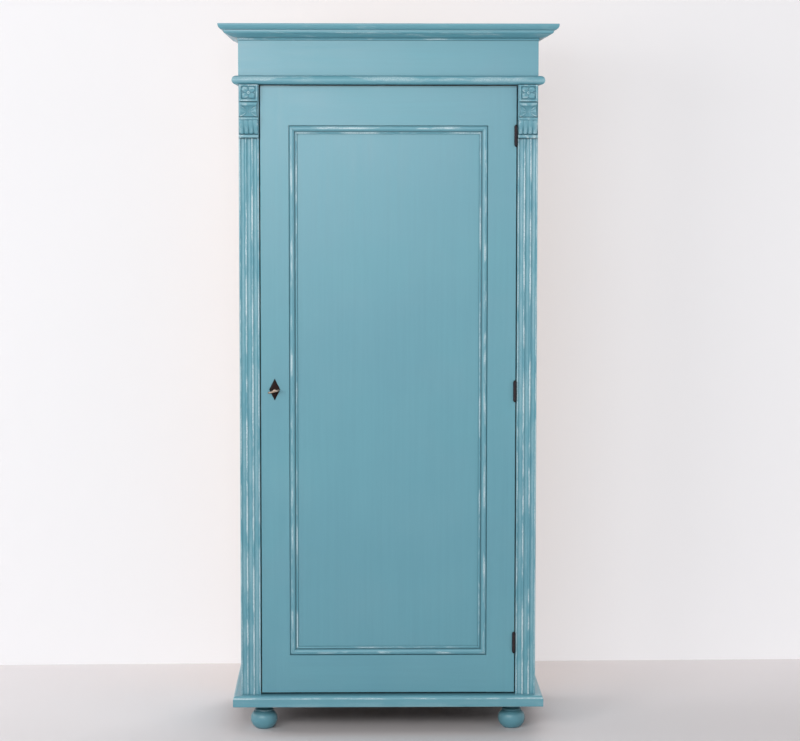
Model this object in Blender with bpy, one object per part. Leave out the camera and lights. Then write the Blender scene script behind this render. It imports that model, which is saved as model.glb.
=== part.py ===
"""A painted single-door wardrobe: fluted stiles under carved capitals, a panelled door with a
working lock, a half-round top board and a loose crown box on bun feet.

Metres, +Z up. The front looks along -Y. The origin is on the floor, under the middle of the
bounding box.
"""

import math

import bmesh
import bpy
from mathutils import Vector

# Fits shared by the whole piece of furniture
SEAT_GAP = 0.0003
CUT_OVERRUN = 0.004
HOUSING_DEPTH = 0.006

# The carcass, which the other sizes hang on
CARCASS_WIDTH = 0.820
CARCASS_DEPTH = 0.500
FOOT_HEIGHT = 0.0765
BASE_THICKNESS = 0.031
OPENING_HEIGHT = 1.692
TOP_THICKNESS = 0.024
SIDE_THICKNESS = 0.018

# Base board and top board, which both stand proud of the carcass on three sides
BASE_OVERHANG = 0.0241
BASE_FRONT_OVERHANG = 0.024
BASE_ARRIS_RADIUS = 0.0106
BASE_LOWER_ARRIS = 0.0015
TOP_OVERHANG = 0.0180
TOP_NOSING_RADIUS = 0.0117
NOSING_STEPS = 6

# Bun feet
FOOT_BALL_RADIUS = 0.0375
FOOT_FLAT_RADIUS = 0.020
FOOT_BALL_MIDDLE = 0.0245
FOOT_BALL_TOP = 0.0510
FOOT_THROAT_RADIUS = 0.026
FOOT_BEAD_RADIUS = 0.003
FOOT_BEAD_OVERHANG = 0.001
FOOT_NECK_RADIUS = 0.0205
FOOT_FLANGE_RADIUS = 0.029
FOOT_FLANGE_HEIGHT = 0.007
FOOT_TENON_RADIUS = 0.012
FOOT_TENON_LENGTH = 0.018
FOOT_SIDE_INSET = 0.0628
FOOT_FRONT_INSET = 0.066
FOOT_REAR_INSET = 0.048
FOOT_SIDES = 28
FOOT_ARC_STEPS = 10
FOOT_BEAD_DEGREES = 75
FOOT_NECK_START_DEGREES = 235

# Fluted stiles at the front corners
STILE_WIDTH = 0.0553
STILE_THICKNESS = 0.024
STILE_CHAMFER = 0.001
FLUTE_COUNT = 3
FLUTE_FILLET = 0.004
FLUTE_DEPTH = 0.0036
FLUTE_STEPS = 8

# Carved capitals on the stiles
CAPITAL_HEIGHT = 0.1460
CAPITAL_FILLET_HEIGHT = 0.0095
CAPITAL_FILLET_PROJECTION = 0.012
CAPITAL_FILLET_INSET = 0.0005
CONSOLE_HEIGHT = 0.039
CONSOLE_LOW_PROJECTION = 0.0085
CONSOLE_HIGH_PROJECTION = 0.0160
CONSOLE_INSET = 0.0013
CONSOLE_ROLL_HEIGHT = 0.0085
CONSOLE_ROLL_PROJECTION = 0.0190
THROAT_HEIGHT = 0.031
THROAT_PROJECTION = 0.0165
THROAT_HOLLOW = 0.0045
THROAT_INSET = 0.005
THROAT_ROLL_HEIGHT = 0.0085
THROAT_ROLL_PROJECTION = 0.0195
ROSETTE_BLOCK_PROJECTION = 0.0190
ROSETTE_BLOCK_INSET = 0.0023
QUIRK = 0.0012
CAPITAL_STEPS = 6
REED_COUNT = 4
REED_GROOVE_DEPTH = 0.0035
REED_GROOVE_WIDTH = 0.0056
REED_END_RISE = 0.004
PETAL_LENGTH = 0.0190
PETAL_WIDTH = 0.0150
PETAL_HEIGHT = 0.0034
PETAL_OFFSET = 0.0103
BOSS_RADIUS = 0.0044
BOSS_HEIGHT = 0.0048
PETAL_COUNT = 4
PETAL_SIDES = 12
PETAL_RINGS = 3
PETAL_CURVE_DEGREES = 76

# Tongued and grooved back
BACK_THICKNESS = 0.012
BACK_BOARD_COUNT = 5
BACK_REBATE_WIDTH = 0.009
TONGUE_LENGTH = 0.005
TONGUE_THICKNESS = 0.004
BOARD_CHAMFER = 0.0015

# Crown box with its cornice
FRIEZE_OVERHANG = 0.0005
FRIEZE_THICKNESS = 0.018
FRIEZE_SHOW_HEIGHT = 0.0948
CORNICE_HEIGHT = 0.045
CORNICE_PROJECTION = 0.053
CORNICE_NOSE_HEIGHT = 0.017
CORNICE_FILLET_PROJECTION = 0.0385
CORNICE_FILLET_HEIGHT = 0.0035
CORNICE_FOOT_HEIGHT = 0.0055
CORNICE_FOOT_PROJECTION = 0.0085
CORNICE_STEPS = 6
GLUE_BLOCK_SIZE = 0.030
GLUE_BLOCK_INSET = 0.020
CROWN_REAR_HEIGHT = 0.070

# Door frame, panel and planted moulding
DOOR_GAP = 0.003
DOOR_BOTTOM_GAP = 0.006
DOOR_SETBACK = 0.002
DOOR_THICKNESS = 0.024
DOOR_STILE_WIDTH = 0.0781
DOOR_RAIL_WIDTH = 0.108
DOOR_BOTTOM_RAIL_WIDTH = 0.105
DOOR_ARRIS = 0.001
PANEL_RECESS = 0.009
PANEL_THICKNESS = 0.009
PANEL_GROOVE_DEPTH = 0.009
PANEL_SHRINK_ROOM = 0.001
TENON_LENGTH = 0.050
TENON_SHOULDER = 0.016
MOULDING_WIDTH = 0.0235
MOULDING_HEIGHT = 0.0090
MOULDING_ROOT = 0.0040
MOULDING_TORUS_WIDTH = 0.0148
MOULDING_INNER_BEAD_WIDTH = 0.0056
MOULDING_INNER_BEAD_HEIGHT = 0.0044
MOULDING_QUIRK = 0.0009
MOULDING_QUIRK_FLOOR = 0.0018
MOULDING_STEPS = 6

# Door stops
STOP_WIDTH = 0.018
STOP_HEIGHT = 0.014
STOP_END_INSET = 0.022

# Butt hinges with tipped pins
HINGE_AXIS_INSET = 0.002
HINGE_AXIS_FORWARD = 0.003
HINGE_BARREL_RADIUS = 0.0047
HINGE_BARREL_LENGTH = 0.052
HINGE_LEAF_THICKNESS = 0.0016
HINGE_LEAF_REACH = 0.020
HINGE_PIN_RADIUS = 0.0023
HINGE_PIN_CLEARANCE = 0.0003
HINGE_TIP_LENGTH = 0.004
HINGE_TIP_RADIUS = 0.0042
HINGE_TIP_END_RADIUS = 0.0012
HINGE_LEAF_CLEARANCE = 0.0006
HINGE_FROM_TOP = 0.136
HINGE_FROM_BOTTOM = 0.1405
HINGE_SIDES = 16

# Lock, bolt, key and key plate
KEY_PLATE_HEIGHT = 0.0605
KEY_PLATE_WIDTH = 0.0305
KEY_PLATE_EDGE = 0.0012
KEY_PLATE_RIDGE = 0.0028
KEY_PLATE_INNER_SHARE = 0.62
LOCK_HEIGHT_ON_DOOR = 0.8465
KEY_PLATE_RISE = 0.0023
KEY_BACKSET = 0.038
KEYHOLE_RADIUS = 0.0038
KEYHOLE_SLOT_WIDTH = 0.0034
KEYHOLE_SLOT_LENGTH = 0.0105
KEY_SHANK_RADIUS = 0.003
KEY_BORE_RADIUS = 0.0019
KEY_BORE_DEPTH = 0.008
KEY_COLLAR_RADIUS = 0.0048
KEY_COLLAR_LENGTH = 0.003
KEY_NECK_LENGTH = 0.009
KEY_BOW_WIDTH = 0.034
KEY_BOW_LENGTH = 0.026
KEY_BOW_RADIUS = 0.0022
KEY_BIT_REACH = 0.0085
KEY_BIT_LENGTH = 0.006
KEY_BIT_THICKNESS = 0.0022
KEY_REST_DEGREES = 13.0
KEY_SIDES = 16
BOW_STEPS = 28
BOW_SIDES = 8
LOCK_CASE_WIDTH = 0.066
LOCK_CASE_ABOVE = 0.034
LOCK_CASE_BELOW = 0.022
LOCK_CASE_DEPTH = 0.0130
LOCK_CASE_WALL = 0.0015
LOCK_EDGE_INSET = 0.001
DRILL_PIN_RADIUS = 0.0015
LOCK_STUMP_RADIUS = 0.002
BOLT_SETBACK = 0.001
BOLT_THICKNESS = 0.005
BOLT_HEIGHT = 0.0150
BOLT_RISE = 0.0046
BOLT_TAIL_INSET = 0.008
BOLT_THROW = 0.012
BOLT_CLEARANCE = 0.0004
TALON_WIDTH = 0.0084
TALON_DEPTH = 0.0048
TALON_LEAD = 0.006
STUMP_FROM_KEY = 0.020
SPRING_THICKNESS = 0.0008
SPRING_WIDTH = 0.004
SPRING_SPAN = 0.046
SPRING_STEPS = 12
STRIKE_WIDTH = 0.021
STRIKE_HEIGHT = 0.060
STRIKE_THICKNESS = 0.0024
STRIKE_CHAMFER = 0.0008

# Hat shelf and clothes rail
SHELF_HEADROOM = 0.282
SHELF_THICKNESS = 0.018
SHELF_FRONT_INSET = 0.045
SHELF_REAR_GAP = 0.001
SHELF_BATTEN_SIZE = 0.020
RAIL_RADIUS = 0.014
RAIL_SIDES = 24
RAIL_DROP = 0.065
SOCKET_THICKNESS = 0.018
SOCKET_WIDTH = 0.052
SOCKET_BELOW = 0.030
SOCKET_ABOVE = 0.016
SOCKET_STEPS = 8

# Planes that several pieces share
HALF_WIDTH = CARCASS_WIDTH / 2
FRONT = (CORNICE_PROJECTION + SEAT_GAP - CARCASS_DEPTH) / 2
BACK = FRONT + CARCASS_DEPTH
BASE_TOP = FOOT_HEIGHT + BASE_THICKNESS
TOP_BOTTOM = BASE_TOP + OPENING_HEIGHT
TOP_TOP = TOP_BOTTOM + TOP_THICKNESS
CROWN_TOP = TOP_TOP + FRIEZE_SHOW_HEIGHT + CORNICE_HEIGHT
SIDE_INNER = HALF_WIDTH - SIDE_THICKNESS
STILE_INNER = HALF_WIDTH - STILE_WIDTH
STILE_REAR = FRONT + STILE_THICKNESS
CAPITAL_BOTTOM = TOP_BOTTOM - CAPITAL_HEIGHT
BACK_FACE = BACK - BACK_THICKNESS
CROWN_HALF = HALF_WIDTH + FRIEZE_OVERHANG
DOOR_HALF = STILE_INNER - DOOR_GAP
DOOR_BOTTOM = BASE_TOP + DOOR_BOTTOM_GAP
DOOR_TOP = TOP_BOTTOM - DOOR_GAP
DOOR_FACE = FRONT + DOOR_SETBACK
DOOR_REAR = DOOR_FACE + DOOR_THICKNESS
PANEL_HALF = DOOR_HALF - DOOR_STILE_WIDTH
PANEL_LOW = DOOR_BOTTOM + DOOR_BOTTOM_RAIL_WIDTH
PANEL_HIGH = DOOR_TOP - DOOR_RAIL_WIDTH
PANEL_FACE = DOOR_FACE + PANEL_RECESS
HINGE_X = DOOR_HALF - HINGE_AXIS_INSET
HINGE_Y = FRONT - HINGE_AXIS_FORWARD
HINGE_HIGH = DOOR_TOP - HINGE_FROM_TOP
HINGE_LOW = DOOR_BOTTOM + HINGE_FROM_BOTTOM
HINGE_PLACES = {"top": HINGE_HIGH, "middle": (HINGE_HIGH + HINGE_LOW) / 2, "bottom": HINGE_LOW}
KEY_X = KEY_BACKSET - DOOR_HALF
KEY_Z = DOOR_BOTTOM + LOCK_HEIGHT_ON_DOOR
LOCK_OUTER = LOCK_EDGE_INSET - DOOR_HALF
LOCK_INNER = LOCK_OUTER + LOCK_CASE_WIDTH
LOCK_REAR = DOOR_REAR + SEAT_GAP + LOCK_CASE_DEPTH
BOLT_FRONT = DOOR_REAR + BOLT_SETBACK
BOLT_LOW = KEY_Z + BOLT_RISE
BOLT_HIGH = BOLT_LOW + BOLT_HEIGHT
SHELF_TOP = TOP_BOTTOM - SHELF_HEADROOM
SHELF_BOTTOM = SHELF_TOP - SHELF_THICKNESS
RAIL_Z = SHELF_BOTTOM - RAIL_DROP
RAIL_Y = (DOOR_REAR + BACK_FACE) / 2

FINISHES = {
    "teal_paint": ((0.16, 0.36, 0.43, 1.0), 0.45, 0.0),
    "waxed_pine": ((0.52, 0.33, 0.17, 1.0), 0.60, 0.0),
    "dark_iron": ((0.06, 0.05, 0.05, 1.0), 0.42, 0.9),
    "bright_steel": ((0.50, 0.49, 0.47, 1.0), 0.35, 1.0),
    "old_bronze": ((0.11, 0.08, 0.06, 1.0), 0.45, 0.9),
    "brass": ((0.62, 0.46, 0.20, 1.0), 0.30, 1.0),
}


def clear_scene():
    for thing in list(bpy.data.objects):
        bpy.data.objects.remove(thing, do_unlink=True)


def give_finish(piece, finish):
    colour, roughness, metallic = FINISHES[finish]
    material = bpy.data.materials.new(piece.name + "_" + finish)
    material.use_nodes = True
    shader = material.node_tree.nodes["Principled BSDF"]
    shader.inputs["Base Color"].default_value = colour
    shader.inputs["Roughness"].default_value = roughness
    shader.inputs["Metallic"].default_value = metallic
    material.diffuse_color = colour
    piece.data.materials.append(material)


def piece_from(name, bm, finish, smooth_degrees=0):
    """Turns a bmesh into a named object with its finish, and puts it in the scene."""
    bmesh.ops.recalc_face_normals(bm, faces=bm.faces[:])
    mesh = bpy.data.meshes.new(name)
    bm.to_mesh(mesh)
    bm.free()
    if smooth_degrees:
        mesh.shade_smooth()
        mesh.set_sharp_from_angle(angle=math.radians(smooth_degrees))
    piece = bpy.data.objects.new(name, mesh)
    bpy.context.scene.collection.objects.link(piece)
    give_finish(piece, finish)
    return piece


def make_tool(piece):
    """A shape that only cuts or adds to another one stays out of the finished piece."""
    piece.hide_render = True
    piece.display_type = "WIRE"
    return piece


def combine(piece, tool, operation):
    modifier = piece.modifiers.new(tool.name, "BOOLEAN")
    modifier.operation = operation
    modifier.solver = "EXACT"
    modifier.object = make_tool(tool)


def cut(piece, *tools):
    for tool in tools:
        combine(piece, tool, "DIFFERENCE")


def fuse(piece, *tools):
    for tool in tools:
        combine(piece, tool, "UNION")


def box_mesh(low, high):
    bm = bmesh.new()
    middle = (Vector(low) + Vector(high)) / 2
    size = Vector(high) - Vector(low)
    bmesh.ops.create_cube(bm, size=1)
    for vertex in bm.verts:
        vertex.co = middle + Vector(a * b for a, b in zip(vertex.co, size))
    return bm


def block(name, low, high, finish, arris=0):
    """A board between two opposite corners, with its arrises eased where a width is given."""
    bm = box_mesh(low, high)
    if arris:
        bmesh.ops.bevel(bm, geom=bm.edges[:], offset=arris, segments=1, affect="EDGES", profile=0.5)
    return piece_from(name, bm, finish)


def loops_mesh(loops):
    """A solid skinned over closed loops of points, with the first and the last one filled."""
    bm = bmesh.new()
    rings = [[bm.verts.new(point) for point in loop] for loop in loops]
    for ring, following in zip(rings, rings[1:]):
        for i, vertex in enumerate(ring):
            after = (i + 1) % len(ring)
            bm.faces.new((vertex, ring[after], following[after], following[i]))
    bm.faces.new(rings[0])
    bm.faces.new(rings[-1])
    return bm


def prism(name, outline, axis, start, end, finish, smooth_degrees=0):
    """An outline swept straight along X, Y or Z. Its points give the other two coordinates."""
    place = {
        "X": lambda a, b, along: (along, a, b),
        "Y": lambda a, b, along: (a, along, b),
        "Z": lambda a, b, along: (a, b, along),
    }[axis]
    loops = [[place(a, b, along) for a, b in outline] for along in (start, end)]
    return piece_from(name, loops_mesh(loops), finish, smooth_degrees)


def turned(name, profile, sides, finish, smooth_degrees=40):
    """A turned solid about Z. The profile lists (radius, height) from one end of its axis to the other."""
    bm = bmesh.new()
    rings = []
    for radius, height in profile:
        if radius == 0:
            rings.append([bm.verts.new((0, 0, height))])
            continue
        angles = [2 * math.pi * i / sides for i in range(sides)]
        rings.append([bm.verts.new((radius * math.cos(a), radius * math.sin(a), height)) for a in angles])
    for ring, following in zip(rings, rings[1:]):
        for i in range(sides):
            after = (i + 1) % sides
            corners = [ring[i % len(ring)], ring[after % len(ring)]]
            corners += [following[after % len(following)], following[i % len(following)]]
            bm.faces.new(list(dict.fromkeys(corners)))
    return piece_from(name, bm, finish, smooth_degrees)


def arc(centre, radii, start_degrees, end_degrees, steps):
    """Points of an elliptical arc, both ends included."""
    points = []
    for i in range(steps + 1):
        angle = math.radians(start_degrees + (end_degrees - start_degrees) * i / steps)
        points.append((centre[0] + radii[0] * math.cos(angle), centre[1] + radii[1] * math.sin(angle)))
    return points


def at(piece, location, rotation=(0, 0, 0)):
    piece.location = location
    piece.rotation_euler = rotation
    return piece


def rod_along_y(name, x, z, radius, start, end, sides, finish):
    rod = turned(name, [(0, start), (radius, start), (radius, end), (0, end)], sides, finish)
    for vertex in rod.data.vertices:
        vertex.co = (x + vertex.co.x, vertex.co.z, z - vertex.co.y)
    return rod


def edge_is_on(edge, **planes):
    """Whether both ends of an edge lie on the given planes, such as y=0.1."""
    index = {"x": 0, "y": 1, "z": 2}
    tolerance = SEAT_GAP
    return all(
        abs(vertex.co[index[axis]] - value) < tolerance
        for axis, value in planes.items()
        for vertex in edge.verts
    )


def nosed_board(name, low, high, arrises, finish):
    """A board whose front and two ends are rounded. arrises lists (height of the arris, radius, steps)."""
    bm = box_mesh(low, high)
    for height, radius, steps in arrises:
        edges = [
            edge
            for edge in bm.edges
            if edge_is_on(edge, z=height, y=low[1])
            or edge_is_on(edge, z=height, x=low[0])
            or edge_is_on(edge, z=height, x=high[0])
        ]
        bmesh.ops.bevel(bm, geom=edges, offset=radius, segments=steps, affect="EDGES", profile=0.5)
    return piece_from(name, bm, finish, 25)


def side_housing(name, board_face, into_board, side):
    """The shallow trench that takes the end of a carcass side."""
    inner = side * (SIDE_INNER - SEAT_GAP)
    outer = side * (HALF_WIDTH + SEAT_GAP)
    low = (min(inner, outer), STILE_REAR, min(board_face - into_board, board_face + into_board))
    high = (max(inner, outer), BACK + CUT_OVERRUN, max(board_face - into_board, board_face + into_board))
    return block(name, low, high, "waxed_pine")


def foot_places():
    x = HALF_WIDTH - FOOT_SIDE_INSET
    front = FRONT + FOOT_FRONT_INSET
    rear = BACK - FOOT_REAR_INSET
    return {"front_left": (-x, front), "front_right": (x, front), "rear_left": (-x, rear), "rear_right": (x, rear)}


def make_base_board():
    low = (-HALF_WIDTH - BASE_OVERHANG, FRONT - BASE_FRONT_OVERHANG, FOOT_HEIGHT)
    high = (HALF_WIDTH + BASE_OVERHANG, BACK, BASE_TOP)
    arrises = [(BASE_TOP, BASE_ARRIS_RADIUS, NOSING_STEPS), (FOOT_HEIGHT, BASE_LOWER_ARRIS, 1)]
    board = nosed_board("base_board", low, high, arrises, "teal_paint")
    for side, word in ((-1, "left"), (1, "right")):
        cut(board, side_housing("base_housing_" + word, BASE_TOP, HOUSING_DEPTH, side))
    hole_top = FOOT_HEIGHT + FOOT_TENON_LENGTH
    radius = FOOT_TENON_RADIUS + SEAT_GAP
    for word, (x, y) in foot_places().items():
        low_end = FOOT_HEIGHT - CUT_OVERRUN
        profile = [(0, low_end), (radius, low_end), (radius, hole_top), (0, hole_top)]
        cut(board, at(turned("tenon_hole_" + word, profile, FOOT_SIDES, "waxed_pine"), (x, y, 0)))


def foot_profile():
    flat_degrees = math.degrees(math.acos(FOOT_FLAT_RADIUS / FOOT_BALL_RADIUS))
    throat_degrees = math.degrees(math.acos(FOOT_THROAT_RADIUS / FOOT_BALL_RADIUS))
    below = FOOT_BALL_MIDDLE / math.sin(math.radians(flat_degrees))
    above = (FOOT_BALL_TOP - FOOT_BALL_MIDDLE) / math.sin(math.radians(throat_degrees))
    middle = (0, FOOT_BALL_MIDDLE)
    ball = arc(middle, (FOOT_BALL_RADIUS, below), -flat_degrees, 0, FOOT_ARC_STEPS // 2)[:-1]
    ball += arc(middle, (FOOT_BALL_RADIUS, above), 0, throat_degrees, FOOT_ARC_STEPS // 2)
    bead_middle = ball[-1][1] + FOOT_BEAD_RADIUS
    bead_centre = FOOT_THROAT_RADIUS - FOOT_BEAD_RADIUS + FOOT_BEAD_OVERHANG
    radii = (FOOT_BEAD_RADIUS, FOOT_BEAD_RADIUS)
    bead = arc((bead_centre, bead_middle), radii, -FOOT_BEAD_DEGREES, FOOT_BEAD_DEGREES, FOOT_ARC_STEPS // 2)
    board = FOOT_HEIGHT - SEAT_GAP
    flange = board - FOOT_FLANGE_HEIGHT
    neck_top = (FOOT_FLANGE_RADIUS, flange)
    neck_centre = (FOOT_FLANGE_RADIUS, (flange + bead[-1][1]) / 2)
    radii = (FOOT_FLANGE_RADIUS - FOOT_NECK_RADIUS, (flange - bead[-1][1]) / 2)
    neck = arc(neck_centre, radii, FOOT_NECK_START_DEGREES, 90, FOOT_ARC_STEPS // 2)
    shoulder = [neck_top, (FOOT_FLANGE_RADIUS, board), (FOOT_TENON_RADIUS, board)]
    tenon_top = FOOT_HEIGHT + FOOT_TENON_LENGTH - SEAT_GAP
    tenon = [(FOOT_TENON_RADIUS, tenon_top), (0, tenon_top)]
    return [(0, 0)] + ball + bead + neck[:-1] + shoulder + tenon


def make_feet():
    for word, (x, y) in foot_places().items():
        at(turned("foot_" + word, foot_profile(), FOOT_SIDES, "teal_paint"), (x, y, 0))


def make_sides():
    low = BASE_TOP - HOUSING_DEPTH + SEAT_GAP
    high = TOP_BOTTOM + HOUSING_DEPTH - SEAT_GAP
    front = STILE_REAR + SEAT_GAP
    rebate = BACK_FACE - SEAT_GAP
    for side, word in ((-1, "left"), (1, "right")):
        outline = [
            (side * HALF_WIDTH, front),
            (side * HALF_WIDTH, BACK),
            (side * (SIDE_INNER + BACK_REBATE_WIDTH), BACK),
            (side * (SIDE_INNER + BACK_REBATE_WIDTH), rebate),
            (side * SIDE_INNER, rebate),
            (side * SIDE_INNER, front),
        ]
        prism("side_" + word, outline, "Z", low, high, "teal_paint")


def flute_places():
    """(middle, half width) of each flute across a stile, measured from the middle of its face."""
    width = (STILE_WIDTH - (FLUTE_COUNT + 1) * FLUTE_FILLET) / FLUTE_COUNT
    pitch = width + FLUTE_FILLET
    return [((i - (FLUTE_COUNT - 1) / 2) * pitch, width / 2) for i in range(FLUTE_COUNT)]


def make_fluted_stiles():
    low = BASE_TOP + SEAT_GAP
    high = TOP_BOTTOM - SEAT_GAP
    for side, word in ((-1, "left"), (1, "right")):
        middle = side * (HALF_WIDTH - STILE_WIDTH / 2)
        half = STILE_WIDTH / 2
        outline = [
            (middle - half, FRONT + STILE_CHAMFER),
            (middle - half + STILE_CHAMFER, FRONT),
            (middle + half - STILE_CHAMFER, FRONT),
            (middle + half, FRONT + STILE_CHAMFER),
            (middle + half, STILE_REAR),
            (middle - half, STILE_REAR),
        ]
        stile = prism("fluted_stile_" + word, outline, "Z", low, high, "teal_paint", 25)
        for number, (offset, half_flute) in enumerate(flute_places()):
            radius = (half_flute**2 + FLUTE_DEPTH**2) / (2 * FLUTE_DEPTH)
            reach = math.degrees(math.asin(half_flute / radius))
            hollow = arc(
                (middle + offset, FRONT + FLUTE_DEPTH - radius), (radius, radius), 90 + reach, 90 - reach, FLUTE_STEPS
            )
            tail = [(hollow[-1][0], FRONT - CUT_OVERRUN), (hollow[0][0], FRONT - CUT_OVERRUN)]
            name = "flute_" + word + "_" + str(number)
            cut(
                stile,
                prism(name, hollow + tail, "Z", low - CUT_OVERRUN, CAPITAL_BOTTOM + CAPITAL_FILLET_HEIGHT, "teal_paint"),
            )


def capital_stations():
    """(height, inset of each side, projection) up the capital, from its fillet to the rosette block."""
    stations = []
    z = CAPITAL_BOTTOM
    top = z + CAPITAL_FILLET_HEIGHT
    stations += [(z, CAPITAL_FILLET_INSET, CAPITAL_FILLET_PROJECTION - QUIRK)]
    stations += [(z + QUIRK, CAPITAL_FILLET_INSET, CAPITAL_FILLET_PROJECTION)]
    stations += [(top - QUIRK, CAPITAL_FILLET_INSET, CAPITAL_FILLET_PROJECTION)]
    stations += [(top, CAPITAL_FILLET_INSET, CAPITAL_FILLET_PROJECTION - QUIRK)]
    z = top + QUIRK / 2
    for i in range(CAPITAL_STEPS + 1):
        share = i / CAPITAL_STEPS
        rise = (1 - math.cos(math.pi * share)) / 2
        swell = CONSOLE_LOW_PROJECTION + (CONSOLE_HIGH_PROJECTION - CONSOLE_LOW_PROJECTION) * rise
        stations.append((z + CONSOLE_HEIGHT * share, CONSOLE_INSET, swell))
    z += CONSOLE_HEIGHT
    stations += roll_stations(z, CONSOLE_ROLL_HEIGHT, CONSOLE_INSET, CONSOLE_ROLL_PROJECTION)
    z += CONSOLE_ROLL_HEIGHT + QUIRK
    for i in range(CAPITAL_STEPS + 1):
        share = i / CAPITAL_STEPS
        hollow = THROAT_HOLLOW * math.sin(math.pi * share)
        stations.append((z + THROAT_HEIGHT * share, THROAT_INSET, THROAT_PROJECTION - hollow))
    z += THROAT_HEIGHT
    stations += roll_stations(z, THROAT_ROLL_HEIGHT, THROAT_INSET, THROAT_ROLL_PROJECTION)
    z += THROAT_ROLL_HEIGHT + QUIRK
    stations += [(z, ROSETTE_BLOCK_INSET, ROSETTE_BLOCK_PROJECTION - QUIRK)]
    stations += [(z + QUIRK, ROSETTE_BLOCK_INSET, ROSETTE_BLOCK_PROJECTION)]
    stations += [(TOP_BOTTOM - SEAT_GAP, ROSETTE_BLOCK_INSET, ROSETTE_BLOCK_PROJECTION)]
    return stations


def roll_stations(z, height, inset, projection):
    """A half-round roll across the capital, from height z upwards."""
    back = projection - height / 2
    points = arc((back, z + height / 2), (height / 2, height / 2), -80, 80, CAPITAL_STEPS)
    return [(level, inset, out) for out, level in points]


def reed_groove(name, middle, low, high):
    """A cutter that follows the console's swell and leaves a reed on each side of it."""
    loops = []
    for level, _, projection in capital_stations():
        if low - QUIRK <= level <= high:
            share = (level - low) / (high - low)
            flare = 1 + REED_END_RISE / REED_GROOVE_WIDTH * max(0, 1 - 3 * share)
            half = REED_GROOVE_WIDTH / 2 * flare
            face = FRONT - SEAT_GAP - projection
            loops.append(
                [
                    (middle - half, face - CUT_OVERRUN, level),
                    (middle - half, face, level),
                    (middle, face + REED_GROOVE_DEPTH, level),
                    (middle + half, face, level),
                    (middle + half, face - CUT_OVERRUN, level),
                ]
            )
    return piece_from(name, loops_mesh(loops), "teal_paint")


def dome(name, length, width, height, sides, rings):
    """A low carved swelling, longer than it is wide, on a round-cornered base."""
    loops = []
    for i in range(rings + 1):
        angle = math.radians(PETAL_CURVE_DEGREES * i / rings)
        out = height * math.sin(angle)
        shrink = math.cos(angle)
        points = arc((0, 0), (length / 2 * shrink, width / 2 * shrink), 0, 360 - 360 / sides, sides - 1)
        loops.append([(a, b, out) for a, b in points])
    root = [(a, b, -height) for a, b, _ in loops[0]]
    return piece_from(name, loops_mesh([root] + loops), "teal_paint")


def make_capitals():
    stations = capital_stations()
    roll_low = stations[0][0] + CAPITAL_FILLET_HEIGHT + QUIRK / 2
    rosette_z = (stations[-2][0] + stations[-1][0]) / 2
    face = FRONT - SEAT_GAP - ROSETTE_BLOCK_PROJECTION
    for side, word in ((-1, "left"), (1, "right")):
        middle = side * (HALF_WIDTH - STILE_WIDTH / 2)
        loops = []
        for level, inset, projection in stations:
            half = STILE_WIDTH / 2 - inset
            rear = FRONT - SEAT_GAP
            front = rear - projection
            loops.append(
                [
                    (middle - half, rear, level),
                    (middle + half, rear, level),
                    (middle + half, front, level),
                    (middle - half, front, level),
                ]
            )
        capital = piece_from("capital_" + word, loops_mesh(loops), "teal_paint", 25)
        reed_pitch = (STILE_WIDTH - 2 * CONSOLE_INSET) / REED_COUNT
        for number in range(1, REED_COUNT):
            x = middle + (number - REED_COUNT / 2) * reed_pitch
            name = "reed_groove_" + word + "_" + str(number)
            cut(capital, reed_groove(name, x, roll_low, roll_low + CONSOLE_HEIGHT))
        for number in range(PETAL_COUNT):
            angle = math.radians(45 + 360 / PETAL_COUNT * number)
            petal = dome("petal_%s_%d" % (word, number), PETAL_LENGTH, PETAL_WIDTH, PETAL_HEIGHT, PETAL_SIDES, PETAL_RINGS)
            x = middle + PETAL_OFFSET * math.cos(angle)
            z = rosette_z + PETAL_OFFSET * math.sin(angle)
            fuse(capital, at(petal, (x, face, z), (math.pi / 2, -angle, 0)))
        boss = dome("boss_" + word, 2 * BOSS_RADIUS, 2 * BOSS_RADIUS, BOSS_HEIGHT, PETAL_SIDES, PETAL_RINGS)
        fuse(capital, at(boss, (middle, face, rosette_z), (math.pi / 2, 0, 0)))


def make_back():
    """Tongued and grooved boards, nailed into the rebates of the sides."""
    low = BASE_TOP + SEAT_GAP
    high = TOP_BOTTOM - SEAT_GAP
    reach = SIDE_INNER + BACK_REBATE_WIDTH - SEAT_GAP
    width = (2 * reach + SEAT_GAP) / BACK_BOARD_COUNT
    tongue_front = (BACK_FACE + BACK) / 2 - TONGUE_THICKNESS / 2
    tongue_back = tongue_front + TONGUE_THICKNESS
    for number in range(BACK_BOARD_COUNT):
        left = -reach + number * width
        right = left + width - SEAT_GAP
        outline = [(left, BACK), (left, BACK_FACE + BOARD_CHAMFER), (left + BOARD_CHAMFER, BACK_FACE)]
        outline += [(right - BOARD_CHAMFER, BACK_FACE), (right, BACK_FACE + BOARD_CHAMFER)]
        if number < BACK_BOARD_COUNT - 1:
            tip = right + TONGUE_LENGTH
            outline += [(right, tongue_front), (tip, tongue_front), (tip, tongue_back), (right, tongue_back)]
        outline.append((right, BACK))
        board = prism("back_board_" + str(number + 1), outline, "Z", low, high, "waxed_pine")
        if number > 0:
            groove_low = (left - CUT_OVERRUN, tongue_front - SEAT_GAP, low - CUT_OVERRUN)
            groove_high = (left + TONGUE_LENGTH, tongue_back + SEAT_GAP, high + CUT_OVERRUN)
            cut(board, block("back_groove_" + str(number + 1), groove_low, groove_high, "waxed_pine"))


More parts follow.
